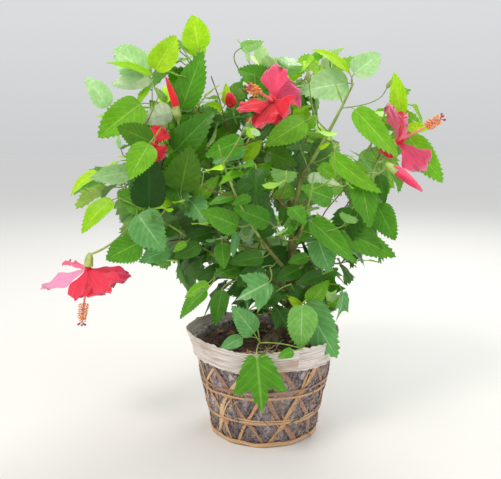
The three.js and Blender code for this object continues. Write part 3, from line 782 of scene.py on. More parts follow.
def soilTop():
    edge = ballRadius(soilBed["height"]) - basket["liningWidth"] - 2
    foot, high, low, mound = (soilBed[key] for key in ("foot", "height", "edgeHeight", "mound"))
    profile = rowOf((0, foot), (edge, foot), 10) + rowOf((edge, foot), (edge, low), 3)
    profile += rowOf((edge, low), (mound, high), 26) + rowOf((mound, high), (0, high), 12) + [(0, high)]
    bm = spun(profile, soilBed["rounds"])
    for vert in bm.verts:
        if vert.co.z > low - 3:
            vert.co.z += sum(height * noise.noise(vert.co / size) for size, height in soilBed["lumps"])
    finishSolid("soil", bm, soil)


def coirFibres():
    # Loose husk fibres that lie on the coir at all angles
    rng = np.random.default_rng(7)
    copies = []
    for _ in range(fibre["count"]):
        angle = rng.uniform(0, 2 * math.pi)
        height = rng.uniform(*fibre["height"])
        way = rng.uniform(0, math.pi)
        length = rng.uniform(*fibre["length"])
        t = np.linspace(-0.5, 0.5, 9)
        bow = rng.uniform(-fibre["bow"], fibre["bow"]) * (t * t)
        arc = length * t * math.cos(way) - bow * math.sin(way)
        up = np.clip(height + length * t * math.sin(way) + bow * math.cos(way), *fibre["within"])
        turns = angle + arc / ballRadius(height)
        near = np.minimum(1, fromStrip(turns, up) * basket["steepness"])
        lift = basket["bulge"] * near - fibre["sunk"] + rng.uniform(*fibre["lift"])
        radius = ballRadius(up) + lift
        points = np.stack([radius * np.cos(turns), radius * np.sin(turns), up], axis=1)
        places = tubePoints(fibreTube, track(points), fibre["radii"])
        copies.append((fibreTube, places, int(rng.integers(0, 3))))
    # Single strands of husk, from dark through grey to straw
    kinds = [plainMaterial("coir fibre, dark husk", "#463a3c", "#7c6a6c", 0.9, 40.0),
             plainMaterial("coir fibre, grey husk", "#8c7e82", "#c0b2b4", 0.9, 40.0),
             plainMaterial("coir fibre, pale husk", "#9a8578", "#c9b8a8", 0.9, 40.0)]
    joined("coir_fibres", copies, kinds)


def soilCrumbs():
    rng = np.random.default_rng(11)
    edge = ballRadius(soilBed["height"]) - basket["liningWidth"] - 4
    fall, mound = soilBed["height"] - soilBed["edgeHeight"], soilBed["mound"]
    places = []
    for _ in range(crumbs["count"]):
        angle, far = rng.uniform(0, 2 * math.pi), edge * math.sqrt(rng.uniform(0.02, 1))
        size = rng.uniform(*crumbs["size"])
        height = soilBed["height"] - fall * max(0, far - mound) / (edge - mound)
        stretch = rng.uniform(*crumbs["stretch"], 3) * size
        wobble = 1 + crumbs["uneven"] * rng.standard_normal((len(crumb["co"]), 1))
        places.append(crumb["co"] * wobble * stretch + [far * math.cos(angle), far * math.sin(angle), height])
    joined("soil_crumbs", [(crumb, np.array(places), 0)], [soil])


soilTop()
coirFibres()
soilCrumbs()

# Palm sheath: one torn sheet wrapped round the rim and lapped over its own end
band = {
    "foot": 123,
    "thickness": 1.5,
    "gap": 3.9,                # from the coir to the sheet
    "waves": 5,
    "waveHeight": 2.2,
    "rise": 9,                 # the sheet stands this much higher at the left of the back
    "riseAt": math.radians(192),
    "riseWidth": 0.42,
    "leanOut": 4,              # and this much farther out
    "seam": math.radians(-74),
    "overlap": math.radians(16),
    "seamLift": 1.8,
    "ragged": 2.4,
    "torn": ((1, 11, 3), (0.7, 34, 5)),
    "crease": 1.1,
    "creases": ((1, 6, 0.9), (0.5, 19, 1.7)),
    "across": 10,              # faces across the sheet and along it
    "along": 260,
}


def sheathMaterial(name, dark, light, stain, endStain, amount):
    # Dried palm sheath, torn from the stem: fine level fibres drawn some 2 mm wide, brown stains
    material, tree, shader = newMaterial(name, {"Roughness": 0.9})
    uv = addNode(tree, "UVMap", {"uv_map": "OFBake"})
    drawn = addNode(tree, "Mapping", {"Scale": (9.0, 2.6, 1.0)}, {"Vector": uv})
    fibres = addNode(tree, "TexNoise", {"Scale": 4.0, "Detail": 5.0, "Roughness": 0.7}, {"Vector": drawn})
    colour = addNode(tree, "ValToRGB", {"stops": [(0.34, dark), (0.58, light)]}, {"Fac": fibres})
    wide = addNode(tree, "Mapping", {"Scale": (2.0, 9.0, 1.0)}, {"Vector": uv})
    blots = addNode(tree, "TexNoise", {"Scale": 1.6, "Detail": 3.0}, {"Vector": wide})
    spots = addNode(tree, "MapRange", {"range": (0.5, 0.72, 0.0, amount)}, {"Value": blots})
    stained = addNode(tree, "Mix", {"data_type": "RGBA", 7: linear(stain)}, {0: spots, 6: colour})
    # One broad streaked stain lies at the foot of the sheet's outer end
    parts = addNode(tree, "SeparateXYZ", links={"Vector": uv})
    atEnd = addNode(tree, "MapRange", {"range": (0.925, 0.975, 0.0, 0.62)}, {"Value": parts.outputs["Y"]})
    atFoot = addNode(tree, "MapRange", {"range": (0.2, 0.34, 1.0, 0.0)}, {"Value": parts.outputs["X"]})
    broad = addNode(tree, "Math", {"operation": "MULTIPLY"}, {0: atEnd, 1: atFoot})
    uneven = addNode(tree, "MapRange", {"range": (0.6, 0.36, 0.25, 1.0)}, {"Value": fibres})
    streaked = addNode(tree, "Math", {"operation": "MULTIPLY"}, {0: broad, 1: uneven})
    browned = addNode(tree, "Mix", {"data_type": "RGBA", 7: linear(endStain)},
                      {0: streaked, 6: stained.outputs[2]})
    finishMaterial(tree, shader, browned.outputs[2], fibres, 0.9, 1)
    return material


def roughAt(angle, level, layers):
    # Noise round the basket, in layers of a strength, a fineness round it and one upward
    return sum(strength * noise.noise(Vector((math.cos(angle) * turns, math.sin(angle) * turns, level * up)))
               for strength, turns, up in layers)


def sheathPoints(shape, start, sweep):
    # A torn sheet that lies round the basket from one angle on and lifts a little towards its end
    x, t, under = shape["x"], shape["far"], shape["under"]
    angle = start + t * sweep
    foot, top = band["foot"], basket["rimHeight"]
    middle, half = (foot + top) / 2, (top - foot) / 2
    height = middle + x * half
    rise = band["rise"] * np.exp(-((angle - band["riseAt"]) / band["riseWidth"]) ** 2) * np.maximum(0, x)
    wave = band["waveHeight"] * np.sin(band["waves"] * angle + x) * x
    rim = np.abs(x) ** 4
    torn = np.array([roughAt(a, level, band["torn"]) for a, level in zip(angle, x)])
    creases = np.array([roughAt(a, level, band["creases"]) for a, level in zip(angle, x)])
    height = height + rise + wave + band["ragged"] * rim * torn
    radius = (ballRadius(height) + band["gap"] + band["seamLift"] * t + band["crease"] * creases
              + band["leanOut"] * rise / band["rise"] + (1 - under) * band["thickness"])
    return np.stack([radius * np.cos(angle), radius * np.sin(angle), height], axis=1)


def plainSheet(x, t):
    return x, t, 0 * x


def sheathBand():
    cloth = sheetShape(band["across"], band["along"], plainSheet)
    points = sheathPoints(cloth, band["seam"] - band["overlap"] / 2, 2 * math.pi + band["overlap"])
    sheath = sheathMaterial("palm sheath, dried and fibrous", "#a4968c", "#f4eae4", "#a8886e", "#b9876a", 0.5)
    joined("palm_sheath", [(cloth, points, 0)], [sheath], ["palm_sheath_band"])


sheathBand()


litter = {
    "tendrils": 16,
    "tendrilAt": (-112, -62),  # degrees round the basket, at its front
    "tendrilReach": (58, 92),
    "height": 137,
    "strides": 7,
    "stride": 5,
    "tendrilRadii": [0.9, 0.7, 0.4],
    "scraps": 40,
    "scrapReach": 96,
    "scrapLength": (7, 15),
    "scrapWidth": (5, 10),
}


def soilLitter():
    # Dry tendrils curling over the front of the rim, and scraps of dead leaf
    rng = np.random.default_rng(17)
    strand = tubeShape(4, 16)
    copies = []
    for _ in range(litter["tendrils"]):
        angle = math.radians(rng.uniform(*litter["tendrilAt"]))
        far = rng.uniform(*litter["tendrilReach"])
        course = rng.uniform(0, 2 * math.pi)
        points = [np.array([far * math.cos(angle), far * math.sin(angle), litter["height"]])]
        for _ in range(litter["strides"]):
            course += rng.uniform(-0.9, 0.9)
            ahead = litter["stride"] * math.cos(course), litter["stride"] * math.sin(course)
            points.append(points[-1] + [*ahead, rng.uniform(-1.5, 3.5)])
        copies.append((strand, tubePoints(strand, throughPoints(points, 6), litter["tendrilRadii"]), 0))
    scrap = sheetShape(4, 4, petalOutline)
    for _ in range(litter["scraps"]):
        angle, far = rng.uniform(0, 2 * math.pi), litter["scrapReach"] * math.sqrt(rng.uniform(0.05, 1))
        base = np.array([far * math.cos(angle), far * math.sin(angle), litter["height"] + 0.5])
        way = turned(np.array([1.0, 0, 0]), upward, rng.uniform(0, 6))
        tip = base + way * rng.uniform(*litter["scrapLength"]) + upward * rng.uniform(0, 4)
        one = bladeBetween(base, tip, upward, rng.uniform(*litter["scrapWidth"]), 0.8)
        one.update({"fold": 0.2, "wave": 0.1, "waves": 1, "phase": far, "twist": 0.6, "thickness": 0.3})
        copies.append((scrap, bladePoints(scrap, one), 1))
    # Sun-dried and brittle: pale straw tendrils, and leaves gone brown
    kinds = [plainMaterial("dry tendril, straw pale", "#b39a70", "#e6d6b0", 0.8, 90.0),
             plainMaterial("dead leaf, crisp and brown", "#6a4a2e", "#b88e58", 0.8, 90.0)]
    joined("soil_litter", copies, kinds)


print("basket made")

# Trunk and boughs

trunk = {
    "points": [[9, 0, 128], [40, 2, 196], [42, -2, 320], [56, 0, 395]],
    "buried": 8,
    "footRadius": 6.4,
    "forkRadius": 3.8,
    "flare": 8,
    "flareHeight": 11,
}
bough = {"footRadius": 3.4, "tipRadius": 2.2}

shoots = [
    {"name": "left_top", "foot": 0.24, "tip": [-94, 15, 560], "bow": 1.45, "lift": 0.42, "bough": 0.4},
    {"name": "left_upper", "foot": 0.33, "tip": [-186, -10, 486], "bow": 0.9, "lift": 0.5, "bough": 0.42},
    {"name": "left_lower", "foot": 0.2, "tip": [-214, -36, 362], "bow": 0.6, "lift": 0.75, "bough": 0.38},
    {"name": "centre_top", "foot": 0.66, "tip": [-14, 46, 545], "bow": 1.0, "lift": 0.5, "bough": 0.3},
    {"name": "right_top", "foot": 0.98, "tip": [128, -6, 524], "bow": 0.45, "lift": 0.35, "bough": 0.2,
     "thick": 1.45},
    {"name": "right_outer", "foot": 0.8, "tip": [196, 76, 500], "bow": 0.85, "lift": 0.35, "bough": 0.3},
    {"name": "right_lower", "foot": 0.45, "tip": [172, -8, 425], "bow": 0.65, "lift": 0.35, "bough": 0.3},
    {"name": "front_middle", "foot": 0.42, "tip": [-62, -122, 436], "bow": 0.8, "lift": 0.5, "bough": 0.36,
     "tries": 36},
    {"name": "front_right", "foot": 0.55, "tip": [62, -112, 400], "bow": 0.8, "lift": 0.5, "bough": 0.36,
     "tries": 36},
    {"name": "low_front", "foot": 0.16, "tip": [-22, -112, 216], "bow": 0.4, "lift": 1.1, "bough": 0,
     "lobed": True},
    {"name": "low_right", "foot": 0.2, "tip": [98, -52, 258], "bow": 0.5, "lift": 0.8, "bough": 0.3,
     "lobed": True},
    {"name": "low_left", "foot": 0.11, "tip": [-72, -42, 258], "bow": 0.5, "lift": 0.8, "bough": 0.3,
     "lobed": True},
    {"name": "back_left", "foot": 0.46, "tip": [-112, 150, 466], "bow": 0.8, "lift": 0.5, "bough": 0.4},
    {"name": "back_right", "foot": 0.6, "tip": [112, 150, 456], "bow": 0.8, "lift": 0.5, "bough": 0.36},
    {"name": "back_low", "foot": 0.28, "tip": [28, 132, 286], "bow": 0.6, "lift": 0.8, "bough": 0.35,
     "lobed": True},
    {"name": "back_top", "foot": 0.74, "tip": [22, 112, 535], "bow": 0.9, "lift": 0.5, "bough": 0.36},
]

trunkCurve = throughPoints(trunk["points"], 60)
trunkLength = trunkCurve["at"][-1]

for shoot in shoots:
    foot = along(trunkCurve, shoot["foot"])
    tip = np.array(shoot["tip"], float)
    middle = foot + (tip - foot) * np.array([shoot["bow"], shoot["bow"], shoot["lift"]])
    shoot["arc"] = (foot, middle, tip)
    shoot["boughCurve"] = bezier(*shoot["arc"], end=shoot["bough"]) if shoot["bough"] else None
    shoot["curve"] = bezier(*shoot["arc"], start=shoot["bough"])

barkForm = {
    "ridges": (0.9, 2.2, 9),   # strength, how many round the stem, and the length of each
    "grain": (0.55, 5, 2.2),
    "scars": (0.5, 23, 14),    # strength, distance between them, and how sharp they are
}


def barkRelief(seed, height):
    # Ridges, lenticels and the rings of old leaf scars
    strong, between, sharp = barkForm["scars"]

    def relief(turn, far):
        rows = []
        for angle, at in zip(turn, far):
            rough = 0
            for share, count, length in (barkForm["ridges"], barkForm["grain"]):
                spot = Vector((math.cos(angle) * count, math.sin(angle) * count, at / length + seed))
                rough += share * noise.noise(spot)
            ring = max(0, math.cos(2 * math.pi * (at / between + 0.13 * seed + angle / 14))) ** sharp
            rows.append(height * (rough + strong * ring))
        return np.array(rows)
    return relief


# Trunk and boughs alive: old bark rough, grey-brown below and olive above, young bark smoother
barkOld = plainMaterial("hibiscus bark, grey-brown and lenticelled, olive green above", "#4a3a2c", "#9a876c",
                        0.9, 160.0, (1.0, 1.0, 0.35), bumpMm=0.8, above=(235, 315, "#565a2a", "#94a050"))
barkYoung = plainMaterial("hibiscus bark, young and green-brown", "#5b5e2c", "#949c50", 0.75, 140.0,
                          (1.0, 1.0, 0.3), bumpMm=0.4)
trunkTube = tubeShape(28, 150)
trunkRadii = [mix(trunk["footRadius"], trunk["forkRadius"], u)
              + trunk["flare"] * math.exp(-max(0, u * trunkLength - trunk["buried"]) / trunk["flareHeight"])
              for u in np.linspace(0, 1, 151)]
joined("trunk_bark", [(trunkTube, tubePoints(trunkTube, trunkCurve, trunkRadii, barkRelief(3.0, 0.8)), 0)],
       [barkOld], ["trunk"])

boughTube = tubeShape(14, 60)
boughRadii = [bough["footRadius"], bough["tipRadius"]]
boughCopies = []
for number, shoot in enumerate(shoots):
    if shoot["bough"]:
        places = tubePoints(boughTube, shoot["boughCurve"], boughRadii, barkRelief(number * 7.0, 0.35))
        boughCopies.append((boughTube, places, 0))
joined("bough_bark", boughCopies, [barkYoung], ["bough_" + s["name"] for s in shoots if s["bough"]])
print("trunk and boughs made")

# Flowers, in the model's places

# Each petal of an open flower has its tip's pixels and depth, its width, how far it shows its face to the
# viewer, and which of the reds it has, the coral and pink ones carrying painted sheen
flowers = [
    {"name": "flower_left_hanging", "on": "left_lower", "at": 0.84, "side": [-0.8, 0, -0.6], "reach": 0.62,
     "heart": [-262, -30, 250], "face": [-0.16, 0.05, -1], "open": 72, "petal": 76,
     "columnTip": (82, 321, -36),
     "petals": [((72, 262), 22, 46, 0.0, 1),
                ((131, 276), 4, 36, -0.35, 0),
                ((41, 288), -44, 40, -0.3, 2),
                ((75, 300), -84, 34, -0.1, 0),
                ((110, 292), -78, 54, -0.62, 0)]},
    {"name": "flower_right", "on": "right_lower", "at": 0.94, "side": [1, 0, 0], "reach": 0.4,
     "heart": [203, 0, 444], "face": [0.87, -0.12, 0.5], "open": 84, "petal": 66,
     "columnTip": (440, 119, -9),
     "petals": [((388, 103), -12, 44, -0.15, 1),
                ((405, 118), 48, 46, 0.0, 0),
                ((379, 152), -2, 34, 0.3, 0),
                ((407, 117), -46, 42, 0.5, 1),
                ((426, 171), -20, 54, 0.5, 1)]},
    {"name": "flower_top", "on": "centre_top", "at": 0.56, "side": [0.6, -0.8, 0], "reach": 0.6,
     "heart": [8, -38, 500], "face": [-0.72, -0.4, 0.56], "open": 66, "petal": 64,
     "columnTip": (250, 88, -80),
     "petals": [((276, 63), -26, 44, 0.25, 1),
                ((288, 115), -66, 46, 0.45, 0),
                ((300, 90), -10, 50, 0.6, 1),
                ((237, 110), -52, 42, 0.3, 0),
                ((257, 128), -70, 52, 0.5, 0)]},
    {"name": "flower_left_upper", "on": "left_upper", "at": 0.72, "side": [0.2, -1, 0], "reach": 0.5,
     "heart": [-160, -58, 436], "face": [-0.6, -0.75, 0.12], "open": 70, "petal": 58,
     "columnTip": (137, 159, -76),
     "petals": [((148, 128), -26, 34, 0.3, 0),
                ((130, 139), -50, 26, 0.3, 0),
                ((165, 127), -46, 30, 0.4, 0),
                ((140, 162), -64, 28, 0.4, 0),
                ((164, 158), -66, 30, 0.5, 0)]},
    {"name": "bud_left", "on": "left_top", "at": 0.7, "side": [-0.8, -0.6, 0], "reach": 0.5,
     "heart": [-130, -16, 490], "face": [-0.28, -0.05, 0.95], "petal": 44, "width": 11,
     "bow": [1.0, 0, 0.3], "bud": True},
    {"name": "bud_centre", "on": "centre_top", "at": 0.6, "side": [-1, 0.2, 0], "reach": 0.5,
     "heart": [-50, -12, 499], "face": [-0.1, -0.8, 0.5], "petal": 19, "width": 17, "bud": True},
    {"name": "spent_flower_right", "on": "right_lower", "at": 0.87, "side": [0.3, -0.6, -0.8], "reach": 0.5,
     "heart": [188, -36, 398], "face": [0.78, -0.15, -0.6], "petal": 47, "width": 15, "bud": True},
]
bloom = {
    "stalkRadius": 1.4,
    "calyxLength": 17,
    "calyxRadius": 7.5,
    "tubeLength": 27,
    "column": 1.08,
    "antherRows": (0.62, 0.97),
    "anthers": 64,
    "antherReach": (4.0, 7.5),
    "antherSize": 1.6,
    "stigmaReach": 6.5,
    "petalFoot": 3,
    "petalCurl": 0.5,
    "clearBeyond": 4,          # leaves keep this far from a flower's rim
    "clearDepth": 11,          # and from its petals' faces
    "stalkRadii": [1.3, 1.3, 1.7],
    "calyxRadii": [1.6, 4.2, 5.6, 6.0, 6.2, 6.6, 7.4],
    "columnRadii": [2.4, 1.9, 1.5, 1.0],
    "throatRadii": [3.0, 4.6, 5.6],
    "threadRadii": [0.3, 0.25],
    "stigmaRadii": [0.5, 0.45],
    "stigmaSize": 1.9,
}
petalForm = {"fold": -0.1, "wave": 0.085, "waves": 2.1, "twist": 0.3, "thickness": 0.5}
# A bud is a spindle whose radii are these shares of its width
budForm = {"fill": 0.98, "bow": 0.09, "swell": [0.85, 1, 0.95, 0.75, 0.5], "ends": (3, 1.2)}


def petalOutline(x, t):
    # Narrow claw, broad rounded end with a ruffled, pleated rim
    half = 0.5 * np.clip(0.12 + 0.96 * np.sin(np.clip(t, 0, 1) * math.pi * 0.6) ** 1.35, 0, 1)
    half = half * np.sqrt(np.clip(1 - np.clip((t - 0.72) / 0.3, 0, 1) ** 2.4, 0.02, 1))
    ruffle = 0.06 * t ** 3 * np.sin(8 * x + 2) + 0.035 * t ** 2 * np.sin(15 * x + 6 * t)
    pleats = 0.013 * t * np.cos(10 * math.pi * x)
    rows = t - 0.07 * (1 - np.cos(3 * x)) * t ** 2 + 0.015 * np.sin(19 * x) * t ** 6
    return x * half, rows, ruffle + pleats


petal = sheetShape(20, 22, petalOutline)
soilLitter()
budTube = tubeShape(24, 30)
stalkTube = tubeShape(8, 14)
calyxTube = tubeShape(12, 10)
columnTube = tubeShape(8, 16)
threadTube = tubeShape(3, 2)
# The coral and pink reds are partly painted sheen: pink is painted sheen on the red petals, and coral is
# pinker red with painted sheen as well as the spent flower's own colour
petalRed = petalMaterial("hibiscus petal, scarlet", "#f62030", "#98081c", "#fa5a74", "#f83048")
petalCoral = petalMaterial("hibiscus petal, coral red", "#fc446c", "#c4183c", "#ff90ae", "#fc5c84")
petalPinkSheen = petalMaterial("hibiscus petal, faded pink", "#f66a98", "#d03058", "#fbb4d0", "#f892b8")
# Soft, matt parts of the flower: downy calyx, waxy column, powdery anthers, velvety stigmas
calyxGreen = plainMaterial("hibiscus calyx, downy pale green", "#8fae4c", "#c9dd86", 0.7, 90.0, bumpMm=0.2)
columnPink = plainMaterial("hibiscus column, waxy salmon", "#e07070", "#f4a79a", 0.5, 90.0, bumpMm=0.1)
antherOrange = plainMaterial("hibiscus anther, powdery orange", "#ee7a30", "#fbc468", 0.85, 200.0, bumpMm=0.2)
stigmaRed = plainMaterial("hibiscus stigma, velvety red", "#9c1c40", "#d84a66", 0.8, 200.0, bumpMm=0.1)


def flowerStalk(flower):
    foot, middle, tip = next(s for s in shoots if s["name"] == flower["on"])["arc"]
    t = flower["at"]
    start = foot * (1 - t) ** 2 + middle * 2 * t * (1 - t) + tip * t ** 2
    way = unit(2 * (1 - t) * (middle - foot) + 2 * t * (tip - middle))
    side = upright(np.array(flower["side"], float), way)
    heart = np.array(flower["heart"], float)
    face = unit(flower["face"])
    back = heart - face * (bloom["calyxLength"] if flower.get("bud") else bloom["tubeLength"])
    bend = start + side * np.linalg.norm(start - back) * flower["reach"]
    return bezier(start, bend, back), heart, face, back


def acrossFlower(face):
    return upright(np.array([1.0, 0, 0]) if abs(face[2]) > 0.9 else upward, face)


def flowerFoot(curve, face, back):
    start = back - face * 2 * bloom["stalkRadius"]
    end = back + face * bloom["calyxLength"]
    return [(stalkTube, tubePoints(stalkTube, curve, bloom["stalkRadii"]), 0),
            (calyxTube, tubePoints(calyxTube, track([start, end]), bloom["calyxRadii"]), 0)]


def openFlower(flower):
    rng = np.random.default_rng(len(flower["name"]))
    curve, heart, face, back = flowerStalk(flower)
    greens = flowerFoot(curve, face, back)
    tip = place(*flower["columnTip"])
    ahead = unit(tip - heart)
    first = acrossFlower(ahead)
    column = track([heart - face * 10, heart + (tip - heart) * 0.4 + face * 3, tip])
    inner = [(columnTube, tubePoints(columnTube, column, bloom["columnRadii"]), 1)]
    funnel = track([back + face * 6, heart + face * 4])
    inner.append((calyxTube, tubePoints(calyxTube, funnel, bloom["throatRadii"]), 4))
    for k in range(bloom["anthers"]):
        away = turned(first, ahead, k * goldenAngle)
        share = mix(*bloom["antherRows"], (k + 0.5) / bloom["anthers"])
        root = heart + (tip - heart) * share
        end = root + (away + ahead * 0.3) * rng.uniform(*bloom["antherReach"])
        inner.append((threadTube, tubePoints(threadTube, track([root, end]), bloom["threadRadii"]), 1))
        inner.append((crumb, crumb["co"] * [1, 1, 0.75] * bloom["antherSize"] + end, 2))
    for k in range(5):
        away = turned(first, ahead, k * 2 * math.pi / 5)
        end = tip + (away * 0.8 + ahead * 0.8) * bloom["stigmaReach"]
        inner.append((threadTube, tubePoints(threadTube, track([tip, end]), bloom["stigmaRadii"]), 3))
        inner.append((crumb, crumb["co"] * bloom["stigmaSize"] + end, 3))
    petals = []
    eye = unit(np.array(view["place"], float) - heart)
    for k, (pixels, depth, width, show, pink) in enumerate(flower["petals"]):
        end = place(*pixels, depth)
        away = upright(end - heart, face)
        facing = face * (1 - abs(show)) + eye * show
        foot = heart - face * 5 + away * bloom["petalFoot"]
        blade = bladeBetween(foot, end, facing, width, bloom["petalCurl"])
        blade.update({**petalForm, "phase": k * 1.3})
        petals.append((petal, bladePoints(petal, blade), pink))
    return greens, inner, petals


def budRoll(turn, far):
    # The rolled petals' edges wind round the bud
    return 1.3 * ((turn * 3 / (2 * math.pi) + far / 34) % 1) - 0.6


for flower in flowers:
    if flower.get("bud"):
        curve, heart, face, back = flowerStalk(flower)
        greens = flowerFoot(curve, face, back)
        width = flower["width"] / 2
        end = heart + face * flower["petal"] * budForm["fill"]
        bow = upright(np.array(flower.get("bow", [0, 0, 1.0])), face) * flower["petal"] * budForm["bow"]
        spindle = bezier(back + face * 3, (back + end) / 2 + bow, end, 20)
        first, last = budForm["ends"]
        radii = [first, *(width * share for share in budForm["swell"]), last]
        greens.append((budTube, tubePoints(budTube, spindle, radii, budRoll), 1))
        budPetal = petalCoral if flower["name"].startswith("spent") else petalRed
        joined(flower["name"] + "_bloom", greens, [calyxGreen, budPetal], [flower["name"]])
    else:
        greens, inner, petals = openFlower(flower)
        joined(flower["name"] + "_petals", petals, [petalRed, petalCoral, petalPinkSheen],
               [flower["name"]])
        joined(flower["name"] + "_middle", greens + inner,
               [calyxGreen, columnPink, antherOrange, stigmaRed, petalRed])
print("flowers made")

# Stems and leaves, by the model's rule carried to finer twigs

stem = {
    "footRadius": 2.2,
    "tipRadius": 1.0,
    "shortest": 0.08,          # share of a twig that is kept at least
    "beyond": 0.03,            # and how far it goes on past its last leaf
}
twig = {
    "every": 48,
    "length": 78,
    "lengthAlong": (1.1, 0.6),
    "lengthVary": (0.8, 1.2),
    "spread": math.radians(52),
    "lift": 0.25,
    "radii": (1.3, 0.8),
    "tries": 8,
    "tryTurn": 0.8,
    "steps": 20,
    "tested": np.linspace(0.2, 1, 9),
}
spray = {
    "onBough": (0.45, 0.7, 0.92),
    "boughLength": 70,
    "onTwig": (0.45, 0.8),
    "twigShare": 0.6,
    "spread": math.radians(58),
    "radii": (1.0, 0.6),
    "steps": 16,
    "tested": np.linspace(0.25, 1, 7),
}
leaf = {
    "every": 16,
    "length": 80,
    "lengthVary": (0.75, 1.1),
    "widthShare": 0.72,
    "stalkShare": 0.4,
    "stalkRadii": [1.1, 0.8, 0.9],
    "thickness": 0.35,
    "youngFrom": 0.35,
    "youngShrink": 0.42,
    "spread": (math.radians(78), math.radians(32)),
    "spreadVary": (0.85, 1.15),
    "hang": (0.95, 0.0),
    "hangVary": (0.7, 1.2),
    "bend": (0.6, 0.3),
    "lookOut": 0.2,
    "tries": 18,
    "tryTurn": 0.45,
    "triesToShrink": 5,
    "shrink": 0.85,
    "clearance": 2,
    "boundary": -6,            # a leaf may pass the middle between two shoots by this much
    "spacing": 7,
    "lateScale": 0.82,         # leaves on the finer twigs are smaller
}
stalkSpots = np.array([0.4, 0.8])
bladeSpots = np.array([
    [0.1, 0], [0.35, -0.75], [0.35, 0], [0.35, 0.75], [0.7, -0.45], [0.7, 0.45], [0.95, 0]])

axes = [along(s["curve"], np.linspace(0, 1, 9)) for s in shoots]
limbStarts, limbEnds, limbRadii = [], [], []


def addLimb(points, radius):
    limbStarts.extend(points[:-1])
    limbEnds.extend(points[1:])
    limbRadii.extend([radius] * (len(points) - 1))


addLimb(along(trunkCurve, np.linspace(0, 1, 13)), trunk["footRadius"])
for shoot in shoots:
    if shoot["boughCurve"]:
        addLimb(along(shoot["boughCurve"], np.linspace(0, 1, 9)), bough["footRadius"])
for flower in flowers:
    curve, heart, face, back = flowerStalk(flower)
    addLimb(along(curve, np.linspace(0, 1, 6)), bloom["stalkRadius"])
    length = flower["petal"] * (1 if flower.get("bud") else bloom["column"])
    addLimb(np.array([back, heart + face * length]), bloom["calyxRadius"])
limbStarts, limbEnds, limbRadii = np.array(limbStarts), np.array(limbEnds), np.array(limbRadii)


def reachOf(points, starts, ends):
    # The distance of each point from each straight stretch
    line = ends - starts
    share = ((points[:, None] - starts) * line).sum(-1) / (line * line).sum(-1)
    foot = starts + np.clip(share, 0, 1)[..., None] * line
    return np.linalg.norm(points[:, None] - foot, axis=-1)


axisStarts = np.concatenate([axis[:-1] for axis in axes])
axisEnds = np.concatenate([axis[1:] for axis in axes])
openFlowers = [f for f in flowers if not f.get("bud")]


def amongPetals(points):
    found = np.zeros(len(points), bool)
    for flower in openFlowers:
        face = unit(flower["face"])
        away = points - np.array(flower["heart"], float)
        ahead = away @ face
        out = np.linalg.norm(away - ahead[:, None] * face, axis=1)
        curl = out * out / flower["petal"] * bloom["petalCurl"] / 2
        petalAhead = out / math.tan(math.radians(flower["open"])) - curl
        inReach = out < flower["petal"] + bloom["clearBeyond"]
        found |= inReach & (np.abs(ahead - petalAhead) < bloom["clearDepth"])
    return found


def insideSpace(points, index):
    near = np.hypot(points[:, 0], points[:, 1]) < ballRadius(basket["rimHeight"]) + basket["headroom"]
    if np.any(near & (points[:, 2] < basket["rimHeight"] + basket["headroom"])):
        return False
    apart = reachOf(points, axisStarts, axisEnds).reshape(len(points), len(shoots), 8).min(axis=2)
    own = apart[:, index]
    others = np.delete(apart, index, axis=1).min(axis=1)
    if np.any(others < own + 2 * leaf["boundary"]) or np.any(amongPetals(points)):
        return False
    return bool(np.all(reachOf(points, limbStarts, limbEnds) > limbRadii + leaf["clearance"]))


def topSide(way):
    return upright(np.array([0.3, 0.1, 1.0]), way)


def freeTwig(kind, parent, at, turn, reach, index):
    # A twig from a place on its parent, at the first of some turns that keeps it in its shoot's space
    base, way = along(parent, at), heading(parent, at)
    for attempt in range(twig["tries"]):
        away = turned(topSide(way), way, turn + attempt * twig["tryTurn"])
        out = way * math.cos(kind["spread"]) + away * math.sin(kind["spread"])
        tip = base + out * reach + upward * reach * twig["lift"]
        curve = bezier(base, base + out * reach / 2, tip, kind["steps"])
        if insideSpace(along(curve, kind["tested"]), index):
            return {"curve": curve, "radii": kind["radii"], "main": False}
    return None


def stemsOf(shoot, index):
    thick = shoot.get("thick", 1)
    radii = (stem["footRadius"] * thick, stem["tipRadius"] * thick)
    stems = [{"curve": shoot["curve"], "radii": radii, "main": True}]
    count = int(shoot["curve"]["at"][-1] // twig["every"])
    for i in range(count):
        at = (i + 0.5) / count
        reach = twig["length"] * mix(*twig["lengthAlong"], at)
        reach *= mix(*twig["lengthVary"], next(shoot["draws"]))
        stems.append(freeTwig(twig, shoot["curve"], at, i * goldenAngle + index, reach, index))
    return [one for one in stems if one]


def spraysOf(shoot, index):
    # Finer twigs than the model's, on the boughs and on the twigs themselves
    found = []
    parents = [(one, one["curve"], at, one["curve"]["at"][-1] * spray["twigShare"], number * 3 + k)
               for number, one in enumerate(shoot["stems"][1:]) for k, at in enumerate(spray["onTwig"])]
    if shoot["boughCurve"]:
        parents += [(None, shoot["boughCurve"], at, spray["boughLength"], k + 1)
                    for k, at in enumerate(spray["onBough"])]
    for parent, curve, at, reach, number in parents:
        made = freeTwig(spray, curve, at, number * goldenAngle + index * 2, reach, index)
        if made:
            found.append({**made, "late": True, "parent": parent, "parentShare": at})
    return found


kept = {"middles": np.full((40000, 3), 1e6), "count": 0}


def leafSpots(one):
    far = bladeSpots[:, 0] * one["length"]
    turn = one["hang"] + one["bend"] * bladeSpots[:, 0] / 2
    side = np.cross(one["face"], one["out"])
    middles = (one["base"] + one["out"] * (far * np.cos(turn))[:, None]
               - one["face"] * (far * np.sin(turn))[:, None]
               + side * (bladeSpots[:, 1] * one["width"] / 2)[:, None])
    stalk = one["root"] + (one["base"] - one["root"]) * stalkSpots[:, None]
    return np.concatenate([stalk, middles]), middles


def keepMiddles(middles):
    kept["middles"][kept["count"]:kept["count"] + len(middles)] = middles
    kept["count"] += len(middles)


